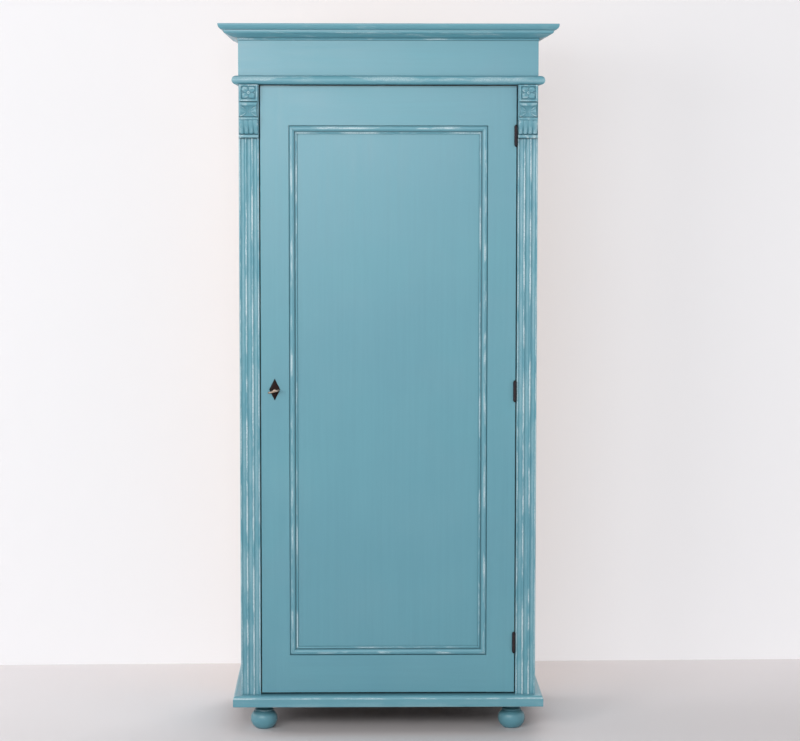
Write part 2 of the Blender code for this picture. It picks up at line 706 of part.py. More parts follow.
def make_top_board():
    low = (-HALF_WIDTH - TOP_OVERHANG, FRONT - TOP_OVERHANG, TOP_BOTTOM)
    high = (HALF_WIDTH + TOP_OVERHANG, BACK, TOP_TOP)
    arrises = [(TOP_TOP, TOP_NOSING_RADIUS, NOSING_STEPS), (TOP_BOTTOM, TOP_NOSING_RADIUS, NOSING_STEPS)]
    board = nosed_board("top_board", low, high, arrises, "teal_paint")
    for side, word in ((-1, "left"), (1, "right")):
        cut(board, side_housing("top_housing_" + word, TOP_BOTTOM, HOUSING_DEPTH, side))


def make_door_stops():
    half = SIDE_INNER - STOP_END_INSET
    front = DOOR_REAR + SEAT_GAP
    top_low = (-half, front, TOP_BOTTOM - SEAT_GAP - STOP_HEIGHT)
    block("door_stop_top", top_low, (half, front + STOP_WIDTH, TOP_BOTTOM - SEAT_GAP), "waxed_pine", DOOR_ARRIS)
    bottom_high = (half, front + STOP_WIDTH, BASE_TOP + SEAT_GAP + STOP_HEIGHT)
    block("door_stop_bottom", (-half, front, BASE_TOP + SEAT_GAP), bottom_high, "waxed_pine", DOOR_ARRIS)


def make_frieze():
    low = TOP_TOP + SEAT_GAP
    inner = CROWN_HALF - FRIEZE_THICKNESS
    behind = FRONT + FRIEZE_THICKNESS
    front_high = (CROWN_HALF, behind, CROWN_TOP)
    block("frieze_front", (-CROWN_HALF, FRONT, low), front_high, "teal_paint")
    block("frieze_left", (-CROWN_HALF, behind + SEAT_GAP, low), (-inner, BACK, CROWN_TOP), "teal_paint")
    block("frieze_right", (inner, behind + SEAT_GAP, low), (CROWN_HALF, BACK, CROWN_TOP), "teal_paint")
    rear_low = (-inner + SEAT_GAP, BACK - FRIEZE_THICKNESS, low)
    block("frieze_rear", rear_low, (inner - SEAT_GAP, BACK, low + CROWN_REAR_HEIGHT), "waxed_pine")
    corner_y = behind + SEAT_GAP
    for side, word in ((-1, "left"), (1, "right")):
        corner_x = side * (inner - SEAT_GAP)
        outline = [
            (corner_x, corner_y),
            (corner_x - side * GLUE_BLOCK_SIZE, corner_y),
            (corner_x, corner_y + GLUE_BLOCK_SIZE),
        ]
        prism("glue_block_" + word, outline, "Z", low, CROWN_TOP - GLUE_BLOCK_INSET, "waxed_pine")


def cornice_profile():
    """(projection, height) round the cornice, from its foot on the frieze to its top arris."""
    foot = CROWN_TOP - CORNICE_HEIGHT
    nose_low = CROWN_TOP - CORNICE_NOSE_HEIGHT
    bead_radius = CORNICE_FOOT_HEIGHT / 2
    bead_out = CORNICE_FOOT_PROJECTION - bead_radius
    bead = arc((bead_out, foot + bead_radius), (bead_radius, bead_radius), -90, 70, 4)
    fillet_low = nose_low - CORNICE_FILLET_HEIGHT
    cyma = []
    start = (CORNICE_FOOT_PROJECTION, foot + CORNICE_FOOT_HEIGHT)
    for i in range(CORNICE_STEPS + 1):
        share = i / CORNICE_STEPS
        lift = share - math.sin(2 * math.pi * share) / (3 * math.pi)
        out = start[0] + (CORNICE_FILLET_PROJECTION - start[0]) * share
        cyma.append((out, start[1] + (fillet_low - start[1]) * lift))
    fillet = [(CORNICE_FILLET_PROJECTION, nose_low)]
    nose_out = CORNICE_PROJECTION - CORNICE_FILLET_PROJECTION - QUIRK
    nose = arc(
        (CORNICE_FILLET_PROJECTION + QUIRK, CROWN_TOP - QUIRK),
        (nose_out, CORNICE_NOSE_HEIGHT - QUIRK),
        -90,
        0,
        CORNICE_STEPS,
    )
    return [(0, foot)] + bead + cyma + fillet + nose + [(CORNICE_PROJECTION, CROWN_TOP), (0, CROWN_TOP)]


def make_cornice():
    """Planted mouldings round three sides of the frieze, mitred at the front corners."""
    profile = cornice_profile()
    face = FRONT - SEAT_GAP
    left_end = [(-CROWN_HALF - out, face - out, z) for out, z in profile]
    right_end = [(-x, y, z) for x, y, z in left_end]
    piece_from("cornice_front", loops_mesh([left_end, right_end]), "teal_paint", 25)
    for side, word in ((-1, "left"), (1, "right")):
        mitre = [(side * (CROWN_HALF + SEAT_GAP + out), FRONT - out, z) for out, z in profile]
        rear = [(x, BACK, z) for x, _, z in mitre]
        piece_from("cornice_" + word, loops_mesh([mitre, rear]), "teal_paint", 25)


def panel_groove(name, low, high):
    """The groove that holds the panel, in a door stile or rail, between two corners in x and z."""
    front = PANEL_FACE - SEAT_GAP
    rear = PANEL_FACE + PANEL_THICKNESS + SEAT_GAP
    return block(name, (low[0], front, low[1]), (high[0], rear, high[1]), "teal_paint")


def rail_spans():
    """(low, high, low of the tenon, high of the tenon) of the two rails."""
    inner = PANEL_GROOVE_DEPTH + SEAT_GAP
    return {
        "bottom": (DOOR_BOTTOM, PANEL_LOW, DOOR_BOTTOM + TENON_SHOULDER, PANEL_LOW - inner),
        "top": (PANEL_HIGH, DOOR_TOP, PANEL_HIGH + inner, DOOR_TOP - TENON_SHOULDER),
    }


def make_door_stiles():
    for side, word in ((-1, "lock"), (1, "hinge")):
        ends = sorted((side * PANEL_HALF, side * DOOR_HALF))
        bm = box_mesh((ends[0], DOOR_FACE, DOOR_BOTTOM), (ends[1], DOOR_REAR, DOOR_TOP))
        outer = side * DOOR_HALF
        edges = [
            edge
            for edge in bm.edges
            if edge_is_on(edge, x=outer, y=DOOR_FACE) or edge_is_on(edge, x=outer, y=DOOR_REAR)
        ]
        bmesh.ops.bevel(bm, geom=edges, offset=DOOR_ARRIS, segments=1, affect="EDGES", profile=0.5)
        stile = piece_from("door_stile_" + word, bm, "teal_paint")
        reach = sorted((side * (PANEL_HALF - CUT_OVERRUN), side * (PANEL_HALF + PANEL_GROOVE_DEPTH)))
        groove_low = PANEL_LOW - PANEL_GROOVE_DEPTH
        groove_high = PANEL_HIGH + PANEL_GROOVE_DEPTH
        cut(stile, panel_groove("groove_" + word, (reach[0], groove_low), (reach[1], groove_high)))
        depth = sorted((side * (PANEL_HALF - CUT_OVERRUN), side * (PANEL_HALF + TENON_LENGTH + SEAT_GAP)))
        for rail, (_, _, tenon_low, tenon_high) in rail_spans().items():
            mortise_low = (depth[0], tenon_low - 2 * SEAT_GAP)
            mortise_high = (depth[1], tenon_high + 2 * SEAT_GAP)
            cut(stile, panel_groove("mortise_" + word + "_" + rail, mortise_low, mortise_high))
        if word == "lock":
            cut(stile, *keyhole_tools("stile_keyhole", DOOR_FACE - CUT_OVERRUN, DOOR_REAR + CUT_OVERRUN))
        else:
            cut_leaf_recesses(stile)


def make_door_rails():
    half = PANEL_HALF - SEAT_GAP
    for word, (low, high, tenon_low, tenon_high) in rail_spans().items():
        rail = block("door_rail_" + word, (-half, DOOR_FACE, low), (half, DOOR_REAR, high), "teal_paint")
        tenon_half = PANEL_HALF + TENON_LENGTH
        tenon = block(
            "tenon_" + word,
            (-tenon_half, PANEL_FACE, tenon_low),
            (tenon_half, PANEL_FACE + PANEL_THICKNESS, tenon_high),
            "teal_paint",
        )
        fuse(rail, tenon)
        inner = high if word == "bottom" else low
        into = -PANEL_GROOVE_DEPTH if word == "bottom" else PANEL_GROOVE_DEPTH
        out = CUT_OVERRUN if word == "bottom" else -CUT_OVERRUN
        levels = sorted((inner + into, inner + out))
        reach = half + CUT_OVERRUN
        cut(rail, panel_groove("rail_groove_" + word, (-reach, levels[0]), (reach, levels[1])))


def make_door_panel():
    reach = PANEL_GROOVE_DEPTH - PANEL_SHRINK_ROOM
    low = (-PANEL_HALF - reach, PANEL_FACE, PANEL_LOW - reach)
    high = (PANEL_HALF + reach, PANEL_FACE + PANEL_THICKNESS, PANEL_HIGH + reach)
    block("door_panel", low, high, "teal_paint")


def moulding_profile():
    """(distance in from the frame, height off the panel) across the planted panel moulding."""
    torus_half = MOULDING_TORUS_WIDTH / 2
    inner_half = MOULDING_INNER_BEAD_WIDTH / 2
    torus_rise = MOULDING_HEIGHT - MOULDING_ROOT
    bead_rise = MOULDING_INNER_BEAD_HEIGHT - MOULDING_QUIRK_FLOOR
    profile = [(0, 0), (0, MOULDING_ROOT)]
    torus_middle = (MOULDING_QUIRK / 2 + torus_half, MOULDING_ROOT)
    profile += arc(torus_middle, (torus_half, torus_rise), 180, 0, 2 * MOULDING_STEPS)
    quirk_start = torus_middle[0] + torus_half
    bead_middle = (MOULDING_WIDTH - MOULDING_QUIRK / 2 - inner_half, MOULDING_QUIRK_FLOOR)
    profile += [(quirk_start + MOULDING_QUIRK / 2, MOULDING_QUIRK_FLOOR)]
    profile += [(bead_middle[0] - inner_half - MOULDING_QUIRK / 2, MOULDING_QUIRK_FLOOR)]
    profile += arc(bead_middle, (inner_half, bead_rise), 175, 5, MOULDING_STEPS)
    profile += [(MOULDING_WIDTH, MOULDING_QUIRK_FLOOR / 2), (MOULDING_WIDTH, 0)]
    return profile


def make_panel_mouldings():
    """Four strips, mitred round the panel inside the door frame."""
    profile = moulding_profile()
    face = PANEL_FACE - SEAT_GAP
    x_edge = PANEL_HALF - 2 * SEAT_GAP
    for word, edge, inwards in (("top", PANEL_HIGH, -1), ("bottom", PANEL_LOW, 1)):
        start = [(-x_edge + s, face - h, edge + inwards * (SEAT_GAP + s)) for s, h in profile]
        end = [(x_edge - s, face - h, edge + inwards * (SEAT_GAP + s)) for s, h in profile]
        piece_from("panel_moulding_" + word, loops_mesh([start, end]), "teal_paint", 25)
    for word, side in (("left", -1), ("right", 1)):
        x_places = [side * (PANEL_HALF - SEAT_GAP - s) for s, _ in profile]
        low_end = PANEL_LOW + 2 * SEAT_GAP
        high_end = PANEL_HIGH - 2 * SEAT_GAP
        start = [(x, face - h, low_end + s) for x, (s, h) in zip(x_places, profile)]
        end = [(x, face - h, high_end - s) for x, (s, h) in zip(x_places, profile)]
        piece_from("panel_moulding_" + word, loops_mesh([start, end]), "teal_paint", 25)


def knuckle_spans():
    """(low, high) of the three knuckles, measured from the middle of a hinge."""
    length = (HINGE_BARREL_LENGTH - 2 * SEAT_GAP) / 3
    lowest = -HINGE_BARREL_LENGTH / 2
    return [(lowest + i * (length + SEAT_GAP), lowest + i * (length + SEAT_GAP) + length) for i in range(3)]


def barrel(name, radius, low, high):
    return turned(name, [(0, low), (radius, low), (radius, high), (0, high)], HINGE_SIDES, "dark_iron")


def hinge_leaf(name, level, x_low, x_high, y_near, y_far, own, others):
    """A leaf with its knuckles. own lists the knuckles it carries, others the ones that it makes room for."""
    half = HINGE_BARREL_LENGTH / 2
    leaf = block(name, (x_low, y_near, level - half), (x_high, y_far, level + half), "dark_iron")
    clear = HINGE_BARREL_RADIUS + HINGE_LEAF_CLEARANCE
    for number, (low, high) in enumerate(others):
        low_corner = (x_low - CUT_OVERRUN, y_near - CUT_OVERRUN, level + low - SEAT_GAP)
        high_corner = (x_high + CUT_OVERRUN, HINGE_Y + clear, level + high + SEAT_GAP)
        cut(leaf, block(name + "_gap_" + str(number), low_corner, high_corner, "dark_iron"))
    for number, (low, high) in enumerate(own):
        knuckle = barrel(name + "_knuckle_" + str(number), HINGE_BARREL_RADIUS, low, high)
        fuse(leaf, at(knuckle, (HINGE_X, HINGE_Y, level)))
    bore = barrel(
        name + "_bore", HINGE_PIN_RADIUS + HINGE_PIN_CLEARANCE, -half - CUT_OVERRUN, half + CUT_OVERRUN
    )
    cut(leaf, at(bore, (HINGE_X, HINGE_Y, level)))
    return leaf


def hinge_pin_profile():
    half = HINGE_BARREL_LENGTH / 2 + SEAT_GAP
    tip = [(HINGE_TIP_END_RADIUS, half + HINGE_TIP_LENGTH), (HINGE_TIP_RADIUS, half)]
    upper = [(0, half + HINGE_TIP_LENGTH)] + tip + [(HINGE_PIN_RADIUS, half)]
    lower = [(radius, -height) for radius, height in reversed(upper)]
    return upper + lower


def frame_leaf_span():
    outer = STILE_INNER - SEAT_GAP
    return outer - HINGE_LEAF_THICKNESS, outer


def door_leaf_span():
    return DOOR_HALF - HINGE_LEAF_THICKNESS, DOOR_HALF


def make_hinges():
    low, middle, high = knuckle_spans()
    leaf_end = FRONT + HINGE_LEAF_REACH
    for word, level in HINGE_PLACES.items():
        x_low, x_high = frame_leaf_span()
        name = "hinge_" + word
        hinge_leaf(name + "_frame_leaf", level, x_low, x_high, HINGE_Y, leaf_end, (low, high), (middle,))
        x_low, x_high = door_leaf_span()
        near = HINGE_Y + (HINGE_BARREL_RADIUS + HINGE_PIN_RADIUS + HINGE_PIN_CLEARANCE) / 2
        hinge_leaf(name + "_door_leaf", level, x_low, x_high, near, leaf_end, (middle,), (low, high))
        at(turned(name + "_pin", hinge_pin_profile(), HINGE_SIDES, "dark_iron"), (HINGE_X, HINGE_Y, level))


def cut_leaf_recesses(stile):
    x_low, x_high = door_leaf_span()
    half = HINGE_BARREL_LENGTH / 2 + SEAT_GAP
    for word, level in HINGE_PLACES.items():
        low = (x_low - SEAT_GAP, DOOR_FACE - CUT_OVERRUN, level - half)
        high = (x_high + CUT_OVERRUN, FRONT + HINGE_LEAF_REACH + SEAT_GAP, level + half)
        cut(stile, block("leaf_recess_" + word, low, high, "teal_paint"))


def keyhole_tools(name, front, rear):
    """The round hole for the shank and the slot below it for the bit."""
    hole = rod_along_y(name + "_hole", KEY_X, KEY_Z, KEYHOLE_RADIUS, front, rear, KEY_SIDES, "old_bronze")
    half = KEYHOLE_SLOT_WIDTH / 2
    low = (KEY_X - half, front, KEY_Z - KEYHOLE_SLOT_LENGTH)
    slot = block(name + "_slot", low, (KEY_X + half, rear, KEY_Z), "old_bronze")
    return hole, slot


def make_key_plate():
    """A lozenge with a raised, faceted middle, nailed over the keyhole."""
    centre = (KEY_X, KEY_Z + KEY_PLATE_RISE)
    rear = DOOR_FACE - SEAT_GAP
    rings = []
    for share, lift in ((1, 0), (1, KEY_PLATE_EDGE), (KEY_PLATE_INNER_SHARE, KEY_PLATE_RIDGE)):
        half_width = KEY_PLATE_WIDTH / 2 * share
        half_height = KEY_PLATE_HEIGHT / 2 * share
        corners = [(half_width, 0), (0, half_height), (-half_width, 0), (0, -half_height)]
        rings.append([(centre[0] + x, rear - lift, centre[1] + z) for x, z in corners])
    plate = piece_from("key_plate", loops_mesh(rings), "old_bronze")
    cut(plate, *keyhole_tools("plate_keyhole", rear - KEY_PLATE_RIDGE - CUT_OVERRUN, rear + CUT_OVERRUN))


def make_lock_case():
    """A pressed box, open towards the door, with the pin for the key and the stump for the bolt."""
    front = DOOR_REAR + SEAT_GAP
    low_z = KEY_Z - LOCK_CASE_BELOW
    high_z = KEY_Z + LOCK_CASE_ABOVE
    case = block("lock_case", (LOCK_OUTER, front, low_z), (LOCK_INNER, LOCK_REAR, high_z), "dark_iron")
    wall = LOCK_CASE_WALL
    hollow_low = (LOCK_OUTER + wall, front - CUT_OVERRUN, low_z + wall)
    hollow_high = (LOCK_INNER - wall, LOCK_REAR - wall, high_z - wall)
    bolt_low = (LOCK_OUTER - CUT_OVERRUN, BOLT_FRONT - BOLT_CLEARANCE, BOLT_LOW - BOLT_CLEARANCE)
    bolt_high = (LOCK_OUTER + wall + CUT_OVERRUN, bolt_rear() + BOLT_CLEARANCE, BOLT_HIGH + BOLT_CLEARANCE)
    cut(case, block("case_hollow", hollow_low, hollow_high, "dark_iron"))
    cut(case, block("bolt_hole", bolt_low, bolt_high, "dark_iron"))
    into_wall = LOCK_REAR - wall / 2
    pin_tip = key_end() - KEY_BORE_DEPTH + KEY_BORE_RADIUS
    pin = rod_along_y("drill_pin", KEY_X, KEY_Z, DRILL_PIN_RADIUS, pin_tip, into_wall, KEY_SIDES, "dark_iron")
    stump = rod_along_y("bolt_stump", *stump_place(), LOCK_STUMP_RADIUS, BOLT_FRONT, into_wall, KEY_SIDES, "dark_iron")
    fuse(case, pin, stump)


def bolt_rear():
    return BOLT_FRONT + BOLT_THICKNESS


def key_end():
    """The y of the key's rear end, just past the bolt."""
    return bolt_rear() + BOLT_THICKNESS / 2


def stump_place():
    """(x, z) of the fixed stump that the slot in the bolt's tail runs on."""
    return KEY_X + STUMP_FROM_KEY, (BOLT_LOW + BOLT_HIGH) / 2


def make_bolt():
    """A flat bolt: a notch below for the key's bit and a slot behind for the stump."""
    low = (LOCK_OUTER, BOLT_FRONT, BOLT_LOW)
    high = (LOCK_INNER - LOCK_CASE_WALL - BOLT_CLEARANCE, bolt_rear(), BOLT_HIGH)
    bolt = block("lock_bolt", low, high, "bright_steel")
    front = BOLT_FRONT - CUT_OVERRUN
    rear = bolt_rear() + CUT_OVERRUN
    talon_middle = KEY_X + TALON_LEAD
    talon_low = (talon_middle - TALON_WIDTH / 2, front, BOLT_LOW - CUT_OVERRUN)
    talon_high = (talon_middle + TALON_WIDTH / 2, rear, BOLT_LOW + TALON_DEPTH)
    cut(bolt, block("talon", talon_low, talon_high, "bright_steel"))
    radius = LOCK_STUMP_RADIUS + BOLT_CLEARANCE
    x, z = stump_place()
    round_end = arc((x, z), (radius, radius), 90, 270, SOCKET_STEPS)
    far_end = arc((x + BOLT_THROW, z), (radius, radius), -90, 90, SOCKET_STEPS)
    cut(bolt, prism("stump_slot", round_end + far_end, "Y", front, rear, "bright_steel"))


def make_bolt_spring():
    """A bowed strip between the top of the case and the bolt, which keeps the bolt where it is."""
    top = KEY_Z + LOCK_CASE_ABOVE - LOCK_CASE_WALL - SEAT_GAP
    bottom = BOLT_HIGH + SEAT_GAP
    middle = (LOCK_OUTER + LOCK_INNER) / 2
    sag = top - bottom
    outline = []
    for offset, order in ((0, 1), (SPRING_THICKNESS, -1)):
        depth = sag - SPRING_THICKNESS
        points = []
        for i in range(SPRING_STEPS + 1):
            share = i / SPRING_STEPS
            fall = depth * math.sin(math.pi * share)
            points.append((middle + SPRING_SPAN * (share - 0.5), top - offset - fall))
        outline += points[::order]
    front = BOLT_FRONT + (BOLT_THICKNESS - SPRING_WIDTH) / 2
    prism("bolt_spring", outline, "Y", front, front + SPRING_WIDTH, "bright_steel", 40)


def make_key():
    """A pipe key. Its bow and its bit lie in one plane, which is tilted as the key rests."""
    plate_face = DOOR_FACE - SEAT_GAP - KEY_PLATE_RIDGE
    collar_rear = plate_face - SEAT_GAP
    collar_front = collar_rear - KEY_COLLAR_LENGTH
    shank_front = collar_front - KEY_NECK_LENGTH
    rear = key_end()
    neck = shank_front + KEY_SHANK_RADIUS
    profile = [
        (0, rear),
        (KEY_SHANK_RADIUS, rear),
        (KEY_SHANK_RADIUS, collar_rear),
        (KEY_COLLAR_RADIUS, collar_rear),
        (KEY_COLLAR_RADIUS, collar_front),
        (KEY_SHANK_RADIUS, collar_front),
        (KEY_SHANK_RADIUS, neck),
        (KEY_COLLAR_RADIUS, shank_front),
        (KEY_SHANK_RADIUS, shank_front - KEY_SHANK_RADIUS),
        (0, shank_front - KEY_SHANK_RADIUS),
    ]
    key = turned("key", profile, KEY_SIDES, "brass")
    stand_along_y(key)
    bow = bow_ring("key_bow", shank_front)
    bit_low = (0, rear - KEY_BIT_LENGTH - SEAT_GAP, -KEY_BIT_THICKNESS / 2)
    bit = block("key_bit", bit_low, (KEY_BIT_REACH, rear - SEAT_GAP, KEY_BIT_THICKNESS / 2), "brass")
    bore_profile = [(0, rear - KEY_BORE_DEPTH), (KEY_BORE_RADIUS, rear - KEY_BORE_DEPTH)]
    bore_profile += [(KEY_BORE_RADIUS, rear + CUT_OVERRUN), (0, rear + CUT_OVERRUN)]
    bore = turned("key_bore", bore_profile, KEY_SIDES, "brass")
    stand_along_y(bore)
    fuse(key, bow, bit)
    cut(key, bore)
    place = (KEY_X, 0, KEY_Z)
    for part in (key, bow, bit, bore):
        at(part, place, (0, -math.radians(KEY_REST_DEGREES), 0))


def stand_along_y(piece):
    """Lays a turned piece down, so that its axis is Y."""
    for vertex in piece.data.vertices:
        vertex.co = (vertex.co.x, vertex.co.z, -vertex.co.y)


def bow_ring(name, rear):
    """The oval ring of the key, a round bar bent in the plane of the bit."""
    half_width = KEY_BOW_WIDTH / 2 - KEY_BOW_RADIUS
    half_length = KEY_BOW_LENGTH / 2 - KEY_BOW_RADIUS
    middle = rear - half_length
    bm = bmesh.new()
    rings = []
    for i in range(BOW_STEPS):
        angle = 2 * math.pi * i / BOW_STEPS
        centre = Vector((half_width * math.cos(angle), middle + half_length * math.sin(angle), 0))
        outward = Vector((half_length * math.cos(angle), half_width * math.sin(angle), 0)).normalized()
        ring = []
        for j in range(BOW_SIDES):
            turn = 2 * math.pi * j / BOW_SIDES
            lift = Vector((0, 0, KEY_BOW_RADIUS * math.sin(turn)))
            ring.append(bm.verts.new(centre + outward * KEY_BOW_RADIUS * math.cos(turn) + lift))
        rings.append(ring)
    for i, ring in enumerate(rings):
        following = rings[(i + 1) % BOW_STEPS]
        for j in range(BOW_SIDES):
            after = (j + 1) % BOW_SIDES
            bm.faces.new((ring[j], ring[after], following[after], following[j]))
    return piece_from(name, bm, "brass", 60)


def make_strike_plate():
    """A wear plate behind the fluted stile, which the thrown bolt bears on."""
    right = -STILE_INNER - STRIKE_CHAMFER
    front = STILE_REAR + SEAT_GAP
    middle = (BOLT_LOW + BOLT_HIGH) / 2
    low = (right - STRIKE_WIDTH, front, middle - STRIKE_HEIGHT / 2)
    high = (right, front + STRIKE_THICKNESS, middle + STRIKE_HEIGHT / 2)
    block("strike_plate", low, high, "dark_iron", STRIKE_CHAMFER)


def make_hat_shelf():
    half = SIDE_INNER - SEAT_GAP
    low = (-half, FRONT + SHELF_FRONT_INSET, SHELF_BOTTOM)
    block("hat_shelf", low, (half, BACK_FACE - SHELF_REAR_GAP, SHELF_TOP), "waxed_pine", DOOR_ARRIS)
    batten_top = SHELF_BOTTOM - SEAT_GAP
    for side, word in ((-1, "left"), (1, "right")):
        ends = sorted((side * half, side * (half - SHELF_BATTEN_SIZE)))
        batten_low = (ends[0], FRONT + SHELF_FRONT_INSET, batten_top - SHELF_BATTEN_SIZE)
        batten_high = (ends[1], BACK_FACE - SHELF_REAR_GAP, batten_top)
        block("shelf_batten_" + word, batten_low, batten_high, "waxed_pine", DOOR_ARRIS)


def make_clothes_rail():
    half = SIDE_INNER - SEAT_GAP
    rail_half = half - SEAT_GAP
    outline = arc((RAIL_Y, RAIL_Z), (RAIL_RADIUS, RAIL_RADIUS), 0, 360 - 360 / RAIL_SIDES, RAIL_SIDES - 1)
    prism("clothes_rail", outline, "X", -rail_half, rail_half, "waxed_pine", 40)
    notch = RAIL_RADIUS + SEAT_GAP
    left = RAIL_Y - SOCKET_WIDTH / 2
    right = RAIL_Y + SOCKET_WIDTH / 2
    high = RAIL_Z + SOCKET_ABOVE
    low = RAIL_Z - SOCKET_BELOW
    outline = [(left, high), (left, low), (right, low), (right, high)]
    outline += arc((RAIL_Y, RAIL_Z), (notch, notch), 0, -180, 2 * SOCKET_STEPS)
    outline.insert(4, (RAIL_Y + notch, high))
    outline.append((RAIL_Y - notch, high))
    for side, word in ((-1, "left"), (1, "right")):
        ends = (side * half, side * (half - SOCKET_THICKNESS))
        prism("rail_socket_" + word, outline, "X", min(ends), max(ends), "waxed_pine")


def main():
    clear_scene()
    make_base_board()
    make_feet()
    make_sides()
    make_fluted_stiles()
    make_capitals()
    make_back()
    make_top_board()
    make_door_stops()
    make_frieze()
    make_cornice()
    make_door_stiles()
    make_door_rails()
    make_door_panel()
    make_panel_mouldings()
    make_hinges()
    make_key_plate()
    make_lock_case()
    make_bolt()
    make_bolt_spring()
    make_key()
    make_strike_plate()
    make_hat_shelf()
    make_clothes_rail()


main()
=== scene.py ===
# %% [markdown]
# # A painted wardrobe, dressed over its solids
# The solids of the wardrobe are loaded as a fixed frame: every board sits where the joiner put it.
# This lesson gives each board its paint, wood or metal, and swaps the moulded, carved and turned
# ones for finer meshes that stand in the same places. Lengths are metres and Z points up.

# %% Load the frame
import math

import bmesh
import bpy
import numpy as np
from mathutils import Matrix, Vector


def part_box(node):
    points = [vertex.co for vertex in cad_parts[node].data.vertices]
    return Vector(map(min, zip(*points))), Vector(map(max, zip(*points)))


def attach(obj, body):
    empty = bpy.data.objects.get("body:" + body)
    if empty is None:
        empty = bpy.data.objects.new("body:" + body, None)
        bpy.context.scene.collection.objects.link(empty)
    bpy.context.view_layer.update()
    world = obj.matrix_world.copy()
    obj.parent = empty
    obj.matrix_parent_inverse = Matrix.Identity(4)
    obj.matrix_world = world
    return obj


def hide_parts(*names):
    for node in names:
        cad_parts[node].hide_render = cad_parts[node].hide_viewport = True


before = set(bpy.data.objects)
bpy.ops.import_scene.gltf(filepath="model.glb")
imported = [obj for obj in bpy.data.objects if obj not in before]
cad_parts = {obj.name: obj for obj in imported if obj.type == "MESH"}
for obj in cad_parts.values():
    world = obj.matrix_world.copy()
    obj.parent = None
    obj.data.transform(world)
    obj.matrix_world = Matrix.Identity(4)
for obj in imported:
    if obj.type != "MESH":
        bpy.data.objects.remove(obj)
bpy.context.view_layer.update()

# %% Shared planes
MM = 0.001
GAP = 0.3 * MM


def low_of(node):
    return Vector(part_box(node)[0])


def high_of(node):
    return Vector(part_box(node)[1])


FRONT = low_of("fluted_stile_left").y
BACK = high_of("side_left").y
BASE_TOP = high_of("base_board").z
TOP_BOTTOM = low_of("top_board").z
CROWN_TOP = high_of("cornice_front").z
CARCASS_HALF = high_of("side_right").x
STILE_WIDTH = high_of("fluted_stile_left").x - low_of("fluted_stile_left").x
STILE_REAR = high_of("fluted_stile_left").y
STILE_MIDDLE = CARCASS_HALF - STILE_WIDTH / 2
CAPITAL_BOTTOM = low_of("capital_left").z
SIDE_INNER = 2 * GAP - low_of("clothes_rail").x
print("front", round(FRONT, 4), "back", round(BACK, 4), "top", round(CROWN_TOP, 4))

# %% [markdown]
# ## The camera
# The wardrobe is seen almost straight from the front, from seven metres off and from eye height, so
# its upright lines stay upright and the top of the base board shows. The camera is turned by small
# angles, which is why its axes are worked out from them and not set by hand.

# %% Camera
CAMERA_PLACE = Vector((-0.0907144, FRONT - 7.0, 1.6214809))
YAW = 0.0175552
PITCH = 0.0864137
ROLL = 0.00083278
LENS = 114.5395


def camera_axes(yaw, pitch, roll):
    """The camera's right, up and backward directions."""
    level = math.cos(pitch)
    forward = Vector((math.sin(yaw) * level, math.cos(yaw) * level, -math.sin(pitch)))
    right = Vector((math.cos(yaw), -math.sin(yaw), 0))
    up = right.cross(forward)
    tilted_right = right * math.cos(roll) + up * math.sin(roll)
    tilted_up = up * math.cos(roll) - right * math.sin(roll)
    return tilted_right, tilted_up, -forward


camera_data = bpy.data.cameras.new("front_camera")
camera_data.sensor_fit = "HORIZONTAL"
camera_data.sensor_width = 36.0
camera_data.lens = LENS
camera = bpy.data.objects.new("front_camera", camera_data)
bpy.context.scene.collection.objects.link(camera)
turn = Matrix.Identity(4)
for column, axis in enumerate(camera_axes(YAW, PITCH, ROLL)):
    for row in range(3):
        turn[row][column] = axis[row]
camera.matrix_world = Matrix.Translation(CAMERA_PLACE) @ turn
bpy.context.scene.camera = camera
bpy.context.scene.view_settings.view_transform = "Standard"
print("camera at", [round(v, 3) for v in camera.location])

# %% [markdown]
# ## Soft studio light
# A broad softbox on the left shapes the flutes and mouldings, and a smaller one near the middle
# makes the sheen on the crown. An overhead box lights what faces up. Weaker ones fill the right and
# the back. They are area lamps because a painted board shows every hard edge of a small lamp. No
# camera sees them, so that a view from behind isn't spoilt by a white rectangle.

# %% Lamps


def softbox(name, place, target, width, height, power):
    data = bpy.data.lights.new(name, "AREA")
    data.shape = "RECTANGLE"
    data.size = width
    data.size_y = height
    data.energy = power
    lamp = bpy.data.objects.new(name, data)
    bpy.context.scene.collection.objects.link(lamp)
    lamp.location = place
    aim = Vector(target) - Vector(place)
    lamp.rotation_euler = aim.to_track_quat("-Z", "Y").to_euler()
    lamp.visible_camera = False


softbox("key_softbox", (-2.60, -4.20, 2.00), (0.0, -0.2, 1.10), 1.6, 1.6, 76)
softbox("front_softbox", (-0.62, -5.00, 2.15), (0.0, -0.2, 1.30), 1.5, 1.0, 70)
softbox("overhead_box", (0.0, -1.60, 3.70), (0.0, -1.1, 0.0), 2.4, 1.4, 11)
softbox("right_fill", (2.60, -2.60, 1.90), (0.4, 0.3, 1.2), 1.8, 2.0, 19)
softbox("left_side_fill", (-3.0, 0.4, 1.8), (-0.4, 0.0, 1.0), 1.6, 2.0, 26)
softbox("rear_fill", (0.9, 3.1, 2.3), (0.0, 0.3, 1.0), 2.2, 1.8, 60)
print("lamps", len(bpy.data.lights))

# %% [markdown]
# ## World
# The world is a weak white fill, but the camera, mirrors and glass see it as plain white. So the
# shadows stay soft and clear, and what shines still has something bright to mirror.

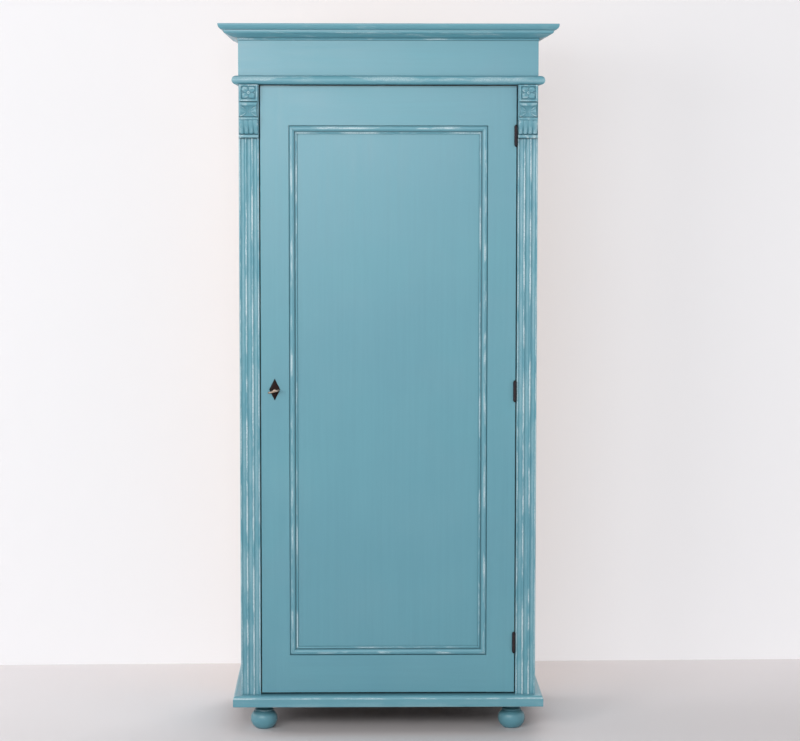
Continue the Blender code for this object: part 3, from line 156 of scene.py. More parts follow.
# %% World
FILL_STRENGTH = 0.24
world = bpy.data.worlds.new("white_room")
bpy.context.scene.world = world
world.use_nodes = True
sky = world.node_tree
sky.nodes.clear()
seen = sky.nodes.new("ShaderNodeLightPath")
camera_or_glossy = sky.nodes.new("ShaderNodeMath")
camera_or_glossy.operation = "MAXIMUM"
sky.links.new(seen.outputs["Is Camera Ray"], camera_or_glossy.inputs[0])
sky.links.new(seen.outputs["Is Glossy Ray"], camera_or_glossy.inputs[1])
or_through = sky.nodes.new("ShaderNodeMath")
or_through.operation = "MAXIMUM"
sky.links.new(camera_or_glossy.outputs[0], or_through.inputs[0])
sky.links.new(seen.outputs["Is Transmission Ray"], or_through.inputs[1])
fill_light = sky.nodes.new("ShaderNodeBackground")
fill_light.inputs["Color"].default_value = (0.95, 0.975, 1.0, 1)
fill_light.inputs["Strength"].default_value = FILL_STRENGTH
white_seen = sky.nodes.new("ShaderNodeBackground")
white_seen.inputs["Color"].default_value = (0.93, 0.925, 0.93, 1)
white_seen.inputs["Strength"].default_value = 1.0
both = sky.nodes.new("ShaderNodeMixShader")
sky.links.new(or_through.outputs[0], both.inputs["Fac"])
sky.links.new(fill_light.outputs[0], both.inputs[1])
sky.links.new(white_seen.outputs[0], both.inputs[2])
out = sky.nodes.new("ShaderNodeOutputWorld")
sky.links.new(both.outputs[0], out.inputs["Surface"])
print("world fill", FILL_STRENGTH)

# %% [markdown]
# ## Floor and backdrop
# A floor and a wall catch the wardrobe's shadow, which a plain background colour can't do. They
# belong to the stage and not to the wardrobe. The wall shows only its front face, so a camera behind
# it still sees the wardrobe's back.

# %% Floor and backdrop
FLOOR_COLOUR = (0.72, 0.685, 0.69, 1)
FLOOR_HALF = 7.0
WALL_COLOUR = (0.97, 0.955, 0.975, 1)
WALL_GLOW = 0.44
WALL_BEHIND = 0.980
WALL_SLANT = 0.0246
WALL_HALF = 3.2
WALL_HIGH = 3.4


def stage_material(name, colour, seen_share, one_sided):
    """A pale matt surface that partly glows for the camera, so that it is pale and keeps its shadow.
    A one-sided one can't be seen from behind and lets light through."""
    material = bpy.data.materials.new(name)
    material.use_nodes = True
    tree = material.node_tree
    tree.nodes.clear()
    path = tree.nodes.new("ShaderNodeLightPath")
    matt = tree.nodes.new("ShaderNodeBsdfDiffuse")
    matt.inputs["Color"].default_value = colour
    glow = tree.nodes.new("ShaderNodeEmission")
    glow.inputs["Color"].default_value = colour
    share = tree.nodes.new("ShaderNodeMath")
    share.operation = "MULTIPLY"
    share.inputs[1].default_value = seen_share
    tree.links.new(path.outputs["Is Camera Ray"], share.inputs[0])
    blend = tree.nodes.new("ShaderNodeMixShader")
    tree.links.new(share.outputs[0], blend.inputs["Fac"])
    tree.links.new(matt.outputs[0], blend.inputs[1])
    tree.links.new(glow.outputs[0], blend.inputs[2])
    end = tree.nodes.new("ShaderNodeOutputMaterial")
    if not one_sided:
        tree.links.new(blend.outputs[0], end.inputs["Surface"])
        return material
    face = tree.nodes.new("ShaderNodeNewGeometry")
    either = tree.nodes.new("ShaderNodeMath")
    either.operation = "MAXIMUM"
    tree.links.new(face.outputs["Backfacing"], either.inputs[0])
    tree.links.new(path.outputs["Is Shadow Ray"], either.inputs[1])
    clear = tree.nodes.new("ShaderNodeBsdfTransparent")
    choice = tree.nodes.new("ShaderNodeMixShader")
    tree.links.new(either.outputs[0], choice.inputs["Fac"])
    tree.links.new(blend.outputs[0], choice.inputs[1])
    tree.links.new(clear.outputs[0], choice.inputs[2])
    tree.links.new(choice.outputs[0], end.inputs["Surface"])
    return material


def flat_sheet(name, corners, material):
    mesh = bpy.data.meshes.new(name)
    mesh.from_pydata(corners, [], [(0, 1, 2, 3)])
    mesh.materials.append(material)
    sheet = bpy.data.objects.new(name, mesh)
    bpy.context.scene.collection.objects.link(sheet)
    return sheet


floor_corners = [(x * FLOOR_HALF, y * FLOOR_HALF, 0) for x, y in ((-1, -1), (1, -1), (1, 1), (-1, 1))]
pale_floor = stage_material("pale_floor", FLOOR_COLOUR, 0.0, False)
floor = flat_sheet("studio_floor", floor_corners, pale_floor)
wall_y = FRONT + WALL_BEHIND
wall_corners = []
for x, z in ((-WALL_HALF, 0), (WALL_HALF, 0), (WALL_HALF, WALL_HIGH), (-WALL_HALF, WALL_HIGH)):
    wall_corners.append((x, wall_y + WALL_SLANT * x, z))
white_wall = stage_material("white_wall", WALL_COLOUR, WALL_GLOW, True)
wall = flat_sheet("studio_wall", wall_corners, white_wall)
print("wall at y", round(wall_y, 3))

# %% [markdown]
# ## Small helpers for shader trees
# A node group is a little machine with named sockets. These helpers make one in a few lines, so
# that the cells below read as recipes: what goes in, what is mixed, what comes out.

# %% Node helpers
FLOAT = "NodeSocketFloat"
VECTOR = "NodeSocketVector"
COLOUR = "NodeSocketColor"


def new_group(name, inputs, outputs):
    """An empty shader group with named sockets, and its two end nodes."""
    group = bpy.data.node_groups.new(name, "ShaderNodeTree")
    for label, kind, value in inputs:
        socket = group.interface.new_socket(name=label, in_out="INPUT", socket_type=kind)
        socket.default_value = value
    for label, kind in outputs:
        group.interface.new_socket(name=label, in_out="OUTPUT", socket_type=kind)
    return group, group.nodes.new("NodeGroupInput"), group.nodes.new("NodeGroupOutput")


def put(tree, socket, value):
    """Feeds a socket with another socket or with a plain value."""
    if isinstance(value, bpy.types.NodeSocket):
        tree.links.new(value, socket)
    else:
        socket.default_value = value


def maths(tree, operation, a, b=0.0, clamp=False):
    item = tree.nodes.new("ShaderNodeMath")
    item.operation = operation
    item.use_clamp = clamp
    put(tree, item.inputs[0], a)
    put(tree, item.inputs[1], b)
    return item.outputs[0]


def vector_maths(tree, operation, a, b):
    item = tree.nodes.new("ShaderNodeVectorMath")
    item.operation = operation
    put(tree, item.inputs[0], a)
    put(tree, item.inputs[1], b)
    return item.outputs["Value"] if operation in {"DOT_PRODUCT", "LENGTH"} else item.outputs["Vector"]


def noise(tree, place, scale, detail=3.0, roughness=0.55, distortion=0.0):
    item = tree.nodes.new("ShaderNodeTexNoise")
    put(tree, item.inputs["Vector"], place)
    put(tree, item.inputs["Scale"], scale)
    item.inputs["Detail"].default_value = detail
    item.inputs["Roughness"].default_value = roughness
    item.inputs["Distortion"].default_value = distortion
    return item.outputs["Fac"]


def ramp(tree, value, low, high, to_low=0.0, to_high=1.0):
    """Stretches low..high to to_low..to_high, and stops at both ends."""
    item = tree.nodes.new("ShaderNodeMapRange")
    item.clamp = True
    put(tree, item.inputs["Value"], value)
    put(tree, item.inputs["From Min"], low)
    put(tree, item.inputs["From Max"], high)
    put(tree, item.inputs["To Min"], to_low)
    put(tree, item.inputs["To Max"], to_high)
    return item.outputs["Result"]


def mix_colour(tree, share, a, b, blend="MIX"):
    item = tree.nodes.new("ShaderNodeMix")
    item.data_type = "RGBA"
    item.blend_type = blend
    put(tree, item.inputs["Factor"], share)
    put(tree, item.inputs[6], a)
    put(tree, item.inputs[7], b)
    return item.outputs[2]


def use_group(tree, group, **values):
    """Places a group in a tree. Socket names are given with underscores for spaces."""
    item = tree.nodes.new("ShaderNodeGroup")
    item.node_tree = group
    for label, value in values.items():
        put(tree, item.inputs[label.replace("_", " ")], value)
    return item.outputs


print("helpers ready")

# %% [markdown]
# ## Brush marks
# The paint is a matt blue-green, brushed along each board and rubbed smooth. Long thin noise makes
# the hairs of the brush, a wider one the laps, and soft clouds the uneven drying. One group does it
# for all boards: only the way of the stroke changes.

# %% Brush marks group
brush_marks, start, end = new_group(
    "brush marks",
    [
        ("Place", VECTOR, (0, 0, 0)),
        ("Stroke Way", VECTOR, (260, 260, 7)),
        ("Tone", COLOUR, (0.12, 0.32, 0.38, 1)),
        ("Variation", FLOAT, 1.0),
    ],
    [("Colour", COLOUR), ("Roughness", FLOAT), ("Height", FLOAT)],
)
tree = brush_marks
stroke_place = vector_maths(tree, "MULTIPLY", start.outputs["Place"], start.outputs["Stroke Way"])
hairs = noise(tree, stroke_place, 4.2, 3.0, 0.6)
laps = noise(tree, stroke_place, 0.55, 2.0, 0.5)
clouds = noise(tree, start.outputs["Place"], 2.6, 4.0, 0.5, 0.3)
specks = noise(tree, start.outputs["Place"], 900.0, 1.0, 0.5)
hair_marks = ramp(tree, hairs, 0.3, 0.7, -0.5, 0.5)
marks = maths(tree, "ADD", hair_marks, ramp(tree, laps, 0.3, 0.7, -0.6, 0.6))
marks = maths(tree, "ADD", marks, ramp(tree, clouds, 0.3, 0.7, -0.9, 0.9))
share = maths(tree, "MULTIPLY", marks, start.outputs["Variation"])
level = ramp(tree, share, -1.6, 1.6, 0.955, 1.045)
greener = ramp(tree, clouds, 0.42, 0.66, 0.0, 0.30)
toned = mix_colour(tree, greener, start.outputs["Tone"], (0.108, 0.322, 0.372, 1))
mist = noise(tree, start.outputs["Place"], 5.5, 3.0, 0.5)
milky = ramp(tree, mist, 0.46, 0.70, 0.0, 0.22)
toned = mix_colour(tree, milky, toned, (0.150, 0.330, 0.400, 1))
grey_level = tree.nodes.new("ShaderNodeCombineColor")
for channel in ("Red", "Green", "Blue"):
    put(tree, grey_level.inputs[channel], level)
coloured = mix_colour(tree, 1.0, toned, grey_level.outputs[0], "MULTIPLY")
put(tree, end.inputs["Colour"], coloured)
put(tree, end.inputs["Roughness"], ramp(tree, marks, -1.2, 1.2, 0.31, 0.41))
height = maths(tree, "ADD", maths(tree, "MULTIPLY", hairs, 0.7), maths(tree, "MULTIPLY", laps, 0.6))
height = maths(tree, "ADD", height, maths(tree, "MULTIPLY", specks, 0.12))
put(tree, end.inputs["Height"], height)
print("brush marks nodes", len(tree.nodes))

# %% [markdown]
# ## Wear
# Sandpaper has cut through the paint on the beads and arrises, and left broken pale lines. Fine
# meshes carry a value called rub, which is 1 on their high lines, so the wear follows them exactly.
# Noise stretched along the board breaks the lines up.

# %% Rubbed highs group
rubbed_highs, start, end = new_group(
    "rubbed highs",
    [("Place", VECTOR, (0, 0, 0)), ("Run Way", VECTOR, (60, 60, 9)), ("Amount", FLOAT, 0.5)],
    [("Mask", FLOAT), ("Hollow Shade", FLOAT)],
)
tree = rubbed_highs
rub = tree.nodes.new("ShaderNodeAttribute")
rub.attribute_name = "rub"
hollow = tree.nodes.new("ShaderNodeAttribute")
hollow.attribute_name = "hollow"
run_place = vector_maths(tree, "MULTIPLY", start.outputs["Place"], start.outputs["Run Way"])
long_patches = noise(tree, run_place, 1.0, 5.0, 0.62)
small_breaks = noise(tree, start.outputs["Place"], 420.0, 3.0, 0.6)
threshold = ramp(tree, start.outputs["Amount"], 0.0, 1.0, 0.73, 0.38)
patch = maths(tree, "SUBTRACT", long_patches, threshold)
patch = maths(tree, "MULTIPLY", patch, 8.5, clamp=True)
breaks = ramp(tree, small_breaks, 0.36, 0.56, 0.25, 1.0)
broken_patch = maths(tree, "MULTIPLY", patch, breaks)
put(tree, end.inputs["Mask"], maths(tree, "MULTIPLY", broken_patch, rub.outputs["Fac"]))
put(tree, end.inputs["Hollow Shade"], hollow.outputs["Fac"])
print("rubbed highs nodes", len(tree.nodes))

# %% [markdown]
# Flat boards carry no such value. A bevelled normal differs from the true one only beside an arris,
# so the two together find the places that a hand or sandpaper reaches first.

# %% Worn arris group
worn_arris, start, end = new_group(
    "worn arris",
    [
        ("Place", VECTOR, (0, 0, 0)),
        ("Run Way", VECTOR, (45, 45, 45)),
        ("Width", FLOAT, 0.0018),
        ("Amount", FLOAT, 0.5),
    ],
    [("Mask", FLOAT)],
)
tree = worn_arris
rounded = tree.nodes.new("ShaderNodeBevel")
rounded.samples = 6
put(tree, rounded.inputs["Radius"], start.outputs["Width"])
surface = tree.nodes.new("ShaderNodeNewGeometry")
match = vector_maths(tree, "DOT_PRODUCT", rounded.outputs[0], surface.outputs["Normal"])
turned_away = ramp(tree, match, 0.985, 0.86)
run_place = vector_maths(tree, "MULTIPLY", start.outputs["Place"], start.outputs["Run Way"])
long_patches = noise(tree, run_place, 1.0, 5.0, 0.62)
threshold = ramp(tree, start.outputs["Amount"], 0.0, 1.0, 0.72, 0.36)
patch = maths(tree, "SUBTRACT", long_patches, threshold)
patch = maths(tree, "MULTIPLY", patch, 7.0, clamp=True)
put(tree, end.inputs["Mask"], maths(tree, "MULTIPLY", patch, turned_away))
print("worn arris nodes", len(tree.nodes))

# %% [markdown]
# ## Dust and painted shade in the hollows
# Wax and dust settle where boards meet and in the quirks of a moulding, and shade falls there too.
# Ambient occlusion tells how closed in a point is, so one group darkens every corner at once: dust and
# painted shade.

# %% Dust and shade group
dust_and_shade_in_hollows, start, end = new_group(
    "dust and shade in hollows",
    [("Place", VECTOR, (0, 0, 0)), ("Reach", FLOAT, 0.006), ("Amount", FLOAT, 0.6)],
    [("Mask", FLOAT)],
)
tree = dust_and_shade_in_hollows
shelter = tree.nodes.new("ShaderNodeAmbientOcclusion")
shelter.samples = 6
put(tree, shelter.inputs["Distance"], start.outputs["Reach"])
closed_in = ramp(tree, shelter.outputs["AO"], 0.80, 0.30)
blotches = noise(tree, start.outputs["Place"], 60.0, 3.0, 0.6)
uneven = ramp(tree, blotches, 0.3, 0.7, 0.6, 1.0)
mask = maths(tree, "MULTIPLY", closed_in, uneven)
put(tree, end.inputs["Mask"], maths(tree, "MULTIPLY", mask, start.outputs["Amount"]))
print("dust group ready")

# %% [markdown]
# ## Pine grain
# The inside is waxed pine. Its rings are a wave that noise bends, squeezed across the board and
# stretched along it, with fine fibres over it and a few knots. Each board gets its own part of the
# pattern from a number that Blender keeps for every object.

# %% Pine group
pine_grain, start, end = new_group(
    "pine grain",
    [("Place", VECTOR, (0, 0, 0)), ("Grain Way", VECTOR, (1, 1, 0.09)), ("Age", FLOAT, 0.5)],
    [("Colour", COLOUR), ("Roughness", FLOAT), ("Height", FLOAT)],
)
tree = pine_grain
board = tree.nodes.new("ShaderNodeObjectInfo")
shift = maths(tree, "MULTIPLY", board.outputs["Random"], 7.3)
own_place = vector_maths(tree, "ADD", start.outputs["Place"], shift)
along = vector_maths(tree, "MULTIPLY", own_place, start.outputs["Grain Way"])
knot_dots = tree.nodes.new("ShaderNodeTexVoronoi")
knot_dots.inputs["Scale"].default_value = 7.0
knot_dots.inputs["Randomness"].default_value = 1.0
knot_way = tree.nodes.new("ShaderNodeMix")
knot_way.data_type = "VECTOR"
knot_way.inputs["Factor"].default_value = 0.55
put(tree, knot_way.inputs[4], own_place)
put(tree, knot_way.inputs[5], along)
put(tree, knot_dots.inputs["Vector"], knot_way.outputs[1])
knot = ramp(tree, knot_dots.outputs["Distance"], 0.10, 0.045)
around_knot = ramp(tree, knot_dots.outputs["Distance"], 0.34, 0.08)
rings = tree.nodes.new("ShaderNodeTexWave")
rings.wave_type = "RINGS"
rings.rings_direction = "SPHERICAL"
rings.inputs["Scale"].default_value = 16.0
rings.inputs["Distortion"].default_value = 5.0
rings.inputs["Detail"].default_value = 2.5
rings.inputs["Detail Scale"].default_value = 1.4
pushed = vector_maths(tree, "ADD", along, maths(tree, "MULTIPLY", around_knot, 0.035))
put(tree, rings.inputs["Vector"], pushed)
fibres_way = vector_maths(tree, "MULTIPLY", along, (520, 520, 520))
fibres = noise(tree, fibres_way, 1.6, 3.0, 0.6)
tone = noise(tree, along, 9.0, 2.0, 0.5)
late_wood = ramp(tree, rings.outputs["Fac"], 0.45, 0.95)
pale = mix_colour(tree, tone, (0.56, 0.37, 0.19, 1), (0.66, 0.46, 0.25, 1))
ring_share = maths(tree, "MULTIPLY", late_wood, 0.55)
ringed = mix_colour(tree, ring_share, pale, (0.36, 0.185, 0.075, 1))
fibre_share = ramp(tree, fibres, 0.35, 0.75, 0.0, 0.28)
fibred = mix_colour(tree, fibre_share, ringed, (0.30, 0.17, 0.08, 1))
knotted = mix_colour(tree, knot, fibred, (0.13, 0.055, 0.025, 1))
age_share = maths(tree, "MULTIPLY", start.outputs["Age"], 0.5)
aged = mix_colour(tree, age_share, knotted, (0.30, 0.19, 0.11, 1))
put(tree, end.inputs["Colour"], aged)
put(tree, end.inputs["Roughness"], ramp(tree, fibres, 0.3, 0.7, 0.46, 0.62))
raised = maths(tree, "MULTIPLY", late_wood, 0.5)
sunk = maths(tree, "MULTIPLY", fibres, 0.5)
put(tree, end.inputs["Height"], maths(tree, "SUBTRACT", raised, sunk))
print("pine group ready")

# %% [markdown]
# ## Old metal
# The hinges are dark iron, the key plate dark bronze, the key worn brass. All are one recipe:
# clouds of tarnish over a bright metal, with fine pitting, and bare metal where hands rub.

# %% Metal group
old_metal, start, end = new_group(
    "old metal",
    [
        ("Place", VECTOR, (0, 0, 0)),
        ("Bright", COLOUR, (0.5, 0.4, 0.2, 1)),
        ("Tarnish", COLOUR, (0.08, 0.05, 0.04, 1)),
        ("Second Tarnish", COLOUR, (0.05, 0.06, 0.05, 1)),
        ("Cover", FLOAT, 0.7),
        ("Patch Size", FLOAT, 160.0),
    ],
    [("Colour", COLOUR), ("Roughness", FLOAT), ("Height", FLOAT)],
)
tree = old_metal
patches = noise(tree, start.outputs["Place"], start.outputs["Patch Size"], 5.0, 0.6, 0.4)
pits = noise(tree, start.outputs["Place"], 1500.0, 2.0, 0.6)
broad_size = maths(tree, "MULTIPLY", start.outputs["Patch Size"], 0.4)
two_tones = noise(tree, start.outputs["Place"], broad_size, 2.0, 0.5)
covering = maths(tree, "ADD", patches, maths(tree, "SUBTRACT", start.outputs["Cover"], 0.5))
covered = ramp(tree, covering, 0.38, 0.66)
second_share = ramp(tree, two_tones, 0.4, 0.6)
tarnish = mix_colour(tree, second_share, start.outputs["Tarnish"], start.outputs["Second Tarnish"])
put(tree, end.inputs["Colour"], mix_colour(tree, covered, start.outputs["Bright"], tarnish))
dullness = maths(tree, "ADD", covered, pits)
put(tree, end.inputs["Roughness"], ramp(tree, dullness, 0.2, 1.6, 0.26, 0.62))
pitting = maths(tree, "MULTIPLY", pits, 0.5)
put(tree, end.inputs["Height"], maths(tree, "ADD", pitting, patches))
print("metal group ready")

# %% [markdown]
# ## The paints
# Every painted part has a material of its own name, made by one function: brush marks, then dust and
# painted shade in the hollows, then the pale primer that shows through the wear. The back edges of the
# boards were never painted, and the inner faces of the sides are waxed pine, so both are chosen by where
# a point lies.

# %% Paint materials
PAINT = (0.120, 0.318, 0.390, 1)
PRIMER = (0.66, 0.78, 0.80, 1)
# A dark tone for dust, and for painted shade in hollows and under the nosing.
GRIME_AND_SHADE = (0.022, 0.070, 0.088, 1)
UNDERSIDE_SHADE = (0.035, 0.034, 0.032, 1)
UPRIGHT = (260.0, 260.0, 6.0)
LEVEL = (6.0, 260.0, 260.0)
FORE_AND_AFT = (260.0, 6.0, 260.0)
CARVED = (90.0, 90.0, 90.0)
TURNED = (120.0, 120.0, 120.0)
ARRIS_WEAR = 1.8 * MM
SKIN = 0.4 * MM
# Height of the painted shadow that the nosing casts on the top of the door.
NOSING_SHADOW_BAND = 5.2 * MM


def run_of(way):
    """Wear breaks up more slowly along the board than across it."""
    return tuple(8.0 if v < 20 else 45.0 for v in way)


def start_material(name):
    material = bpy.data.materials.new(name)
    material.use_nodes = True
    tree = material.node_tree
    shader = tree.nodes["Principled BSDF"]
    where = tree.nodes.new("ShaderNodeTexCoord").outputs["Object"]
    return material, tree, shader, where


def add_bump(tree, shader, height, depth):
    bump = tree.nodes.new("ShaderNodeBump")
    bump.inputs["Strength"].default_value = 1.0
    bump.inputs["Distance"].default_value = depth
    put(tree, bump.inputs["Height"], height)
    tree.links.new(bump.outputs["Normal"], shader.inputs["Normal"])


def bare_inside(tree, where, inside):
    """Masks of the inner faces and rear edges, which have no paint, and of the underside, which is
    painted near black as shade.
    """
    parts = tree.nodes.new("ShaderNodeSeparateXYZ")
    put(tree, parts.inputs[0], where)
    across = maths(tree, "ABSOLUTE", parts.outputs["X"])
    inner = maths(tree, "LESS_THAN", across, inside[0])
    behind_door = maths(tree, "GREATER_THAN", parts.outputs["Y"], inside[1])
    inner = maths(tree, "MULTIPLY", inner, behind_door)
    rear = maths(tree, "GREATER_THAN", parts.outputs["Y"], BACK - SKIN)
    bare = maths(tree, "MAXIMUM", inner, rear)
    underside = maths(tree, "LESS_THAN", parts.outputs["Z"], low_of("base_board").z + SKIN)
    return bare, underside


def paint(name, way, rub_amount, arris_amount=0.0, bare=None, beyond=0, above=0, dust_and_shade_share=1.0):
    """Paint worn to the primer. bare is (x, y): nearer the middle than x and further back than y, the
    wood has no paint. Arrises are worn only further out than beyond. A painted shadow of the nosing lies
    over the part that is higher than above. dust_and_shade_share is the share of dust and painted shade
    in the hollows."""
    material, tree, shader, where = start_material(name)
    coat = use_group(tree, brush_marks, Place=where, Stroke_Way=way, Tone=PAINT)
    dust_and_shade = use_group(tree, dust_and_shade_in_hollows, Place=where)
    # Dust and painted shade darken the paint in its hollows.
    colour = mix_colour(tree, maths(tree, "MULTIPLY", dust_and_shade["Mask"], dust_and_shade_share), coat["Colour"], GRIME_AND_SHADE)
    parts = tree.nodes.new("ShaderNodeSeparateXYZ")
    put(tree, parts.inputs[0], where)
    highs = use_group(tree, rubbed_highs, Place=where, Run_Way=run_of(way), Amount=rub_amount)
    # Hollow marks darken the paint as painted shade.
    colour = mix_colour(tree, maths(tree, "MULTIPLY", highs["Hollow Shade"], 0.55), colour, GRIME_AND_SHADE)
    if above:
        # Painted shadow of the nosing: a dark band below the top end, which stays lighter.
        top = above + NOSING_SHADOW_BAND
        nosing_shadow = ramp(tree, parts.outputs["Z"], above, above + 1.2 * MM, 0.0, 0.5)
        end_grain = ramp(tree, parts.outputs["Z"], top - 0.6 * MM, top - 0.1 * MM, 1.0, 0.3)
        colour = mix_colour(tree, maths(tree, "MULTIPLY", nosing_shadow, end_grain), colour, GRIME_AND_SHADE)
    worn = highs["Mask"]
    if arris_amount:
        arris = use_group(
            tree, worn_arris, Place=where, Run_Way=run_of(way), Width=ARRIS_WEAR, Amount=arris_amount
        )
        mask = arris["Mask"]
        if beyond:
            far_out = maths(tree, "GREATER_THAN", maths(tree, "ABSOLUTE", parts.outputs["X"]), beyond)
            mask = maths(tree, "MULTIPLY", mask, far_out)
        worn = maths(tree, "MAXIMUM", worn, mask)
    colour = mix_colour(tree, maths(tree, "MULTIPLY", worn, 0.8), colour, PRIMER)
    height = maths(tree, "SUBTRACT", coat["Height"], maths(tree, "MULTIPLY", worn, 0.8))
    rough = coat["Roughness"]
    if bare:
        grain_way = tuple(v / max(way) for v in way)
        wood = use_group(tree, pine_grain, Place=where, Grain_Way=grain_way, Age=0.35)
        mask, underside = bare_inside(tree, where, bare)
        colour = mix_colour(tree, mask, colour, wood["Colour"])
        # The underside is painted near black, as shade under the wardrobe.
        colour = mix_colour(tree, underside, colour, UNDERSIDE_SHADE)
        rough_mix = tree.nodes.new("ShaderNodeMix")
        put(tree, rough_mix.inputs[0], mask)
        put(tree, rough_mix.inputs[2], rough)
        put(tree, rough_mix.inputs[3], wood["Roughness"])
        rough = rough_mix.outputs[0]
    put(tree, shader.inputs["Base Color"], colour)
    put(tree, shader.inputs["Roughness"], rough)
    add_bump(tree, shader, height, 0.08 * MM)
    return material


INSIDE = (SIDE_INNER + GAP, STILE_REAR + GAP)
INSIDE_CROWN = (-high_of("frieze_left").x + GAP, high_of("frieze_front").y - GAP)
side_paint = paint("side_paint", UPRIGHT, 0.3, 0.40, bare=INSIDE)
board_paint = paint("board_paint", LEVEL, 0.78, bare=INSIDE, dust_and_shade_share=0.15)
foot_paint = paint("foot_paint", TURNED, 0.6, dust_and_shade_share=0.5)
fluting_paint = paint("fluting_paint", UPRIGHT, 0.86, dust_and_shade_share=0.35)
carving_paint = paint("carving_paint", CARVED, 0.80, dust_and_shade_share=0.6)
crown_paint = paint("crown_paint", LEVEL, 0.55, 0.30, bare=INSIDE_CROWN, dust_and_shade_share=0.4)
crown_side_paint = paint("crown_side_paint", FORE_AND_AFT, 0.45, 0.30, bare=INSIDE_CROWN, dust_and_shade_share=0.4)
# Wear on the door's outer arrises is also a painted highlight along its edges.
DOOR_EDGE = high_of("door_stile_hinge").x - 4 * MM
# The painted shadow of the nosing starts this far below the top of the door.
DOOR_NOSING_SHADOW = high_of("door_stile_hinge").z - NOSING_SHADOW_BAND
door_stile_paint = paint(
    "door_stile_paint", UPRIGHT, 0.3, 0.52, beyond=DOOR_EDGE, above=DOOR_NOSING_SHADOW, dust_and_shade_share=0.5
)
door_rail_paint = paint("door_rail_paint", LEVEL, 0.35, above=DOOR_NOSING_SHADOW)
panel_paint = paint("panel_paint", UPRIGHT, 0.3)
moulding_upright_paint = paint("moulding_upright_paint", UPRIGHT, 0.70, dust_and_shade_share=0.45)
moulding_level_paint = paint("moulding_level_paint", LEVEL, 0.64, dust_and_shade_share=0.45)
print("paints", len([m for m in bpy.data.materials if m.name.endswith("paint")]))

# %% [markdown]
# ## Waxed pine
# Inside and behind, the boards are bare pine under old wax. A picture of wood would stretch over the
# ends of a board, so the grain is worked out from the place of each point. It runs along a board,
# so there is one pine for each direction. The door stops are painted darker, as the shade in the shut
# gaps.

# %% Pine materials
FRESH_PINE = (0.72, 0.55, 0.34, 1)
PINE_DUST_AND_SHADE = (0.10, 0.05, 0.025, 1)
GAP_SHADE_TONE = (0.030, 0.020, 0.014, 1)
ALONG_Z = (1.0, 1.0, 0.05)
ALONG_X = (0.05, 1.0, 1.0)
ALONG_Y = (1.0, 0.05, 1.0)


def pine(name, way, age=0.3, gap_shade=0.0):
    """way is small along the board. gap_shade is the share of a dark tone over the whole wood, painted
    shade for the shut gaps.
    """
    material, tree, shader, where = start_material(name)
    wood = use_group(tree, pine_grain, Place=where, Grain_Way=way, Age=age)
    dust_and_shade = use_group(tree, dust_and_shade_in_hollows, Place=where, Reach=0.012, Amount=0.5)
    worn = use_group(tree, worn_arris, Place=where, Width=1.6 * MM, Amount=0.6)
    # Dust and painted shade darken the pine in its corners.
    colour = mix_colour(tree, dust_and_shade["Mask"], wood["Colour"], PINE_DUST_AND_SHADE)
    colour = mix_colour(tree, maths(tree, "MULTIPLY", worn["Mask"], 0.45), colour, FRESH_PINE)
    # A dark tone over the wood paints the shade in the shut gaps.
    colour = mix_colour(tree, gap_shade, colour, GAP_SHADE_TONE)
    put(tree, shader.inputs["Base Color"], colour)
    put(tree, shader.inputs["Roughness"], wood["Roughness"])
    add_bump(tree, shader, wood["Height"], 0.12 * MM)
    return material


pine_upright = pine("pine_upright", ALONG_Z)
pine_level = pine("pine_level", ALONG_X)
pine_fore_and_aft = pine("pine_fore_and_aft", ALONG_Y)
pine_gap_shaded = pine("pine_gap_shaded", ALONG_X, age=0.9, gap_shade=0.72)
rail_wood = pine("rail_wood", ALONG_X, age=0.75)
print("pines ready")

# %% [markdown]
# ## Metals
# Hinges, lock, key plate and key are old and unpolished. A plain grey metal would look new, so each
# has a bright colour, two colours of tarnish, and a share that the tarnish covers. The arrises are
# the first to be rubbed bright, and dark dust and painted shade lie round the screws.

# %% Metal materials


def metal(name, bright, tarnish, second, cover, patch_size, metallic=0.9, edge=0.4):
    material, tree, shader, where = start_material(name)
    tarnished = use_group(
        tree,
        old_metal,
        Place=where,
        Bright=(*bright, 1),
        Tarnish=(*tarnish, 1),
        Second_Tarnish=(*second, 1),
        Cover=cover,
        Patch_Size=patch_size,
    )
    rubbed = use_group(
        tree, worn_arris, Place=where, Run_Way=(150.0, 150.0, 150.0), Width=0.5 * MM, Amount=edge
    )
    dust_and_shade = use_group(tree, dust_and_shade_in_hollows, Place=where, Reach=0.0022, Amount=0.7)
    shine = maths(tree, "MULTIPLY", rubbed["Mask"], 0.8)
    colour = mix_colour(tree, shine, tarnished["Colour"], (*bright, 1))
    # Dust and painted shade darken the metal in its hollows.
    colour = mix_colour(tree, dust_and_shade["Mask"], colour, (0.012, 0.010, 0.009, 1))
    put(tree, shader.inputs["Base Color"], colour)
    shader.inputs["Metallic"].default_value = metallic
    put(tree, shader.inputs["Roughness"], tarnished["Roughness"])
    add_bump(tree, shader, tarnished["Height"], 0.05 * MM)
    return material


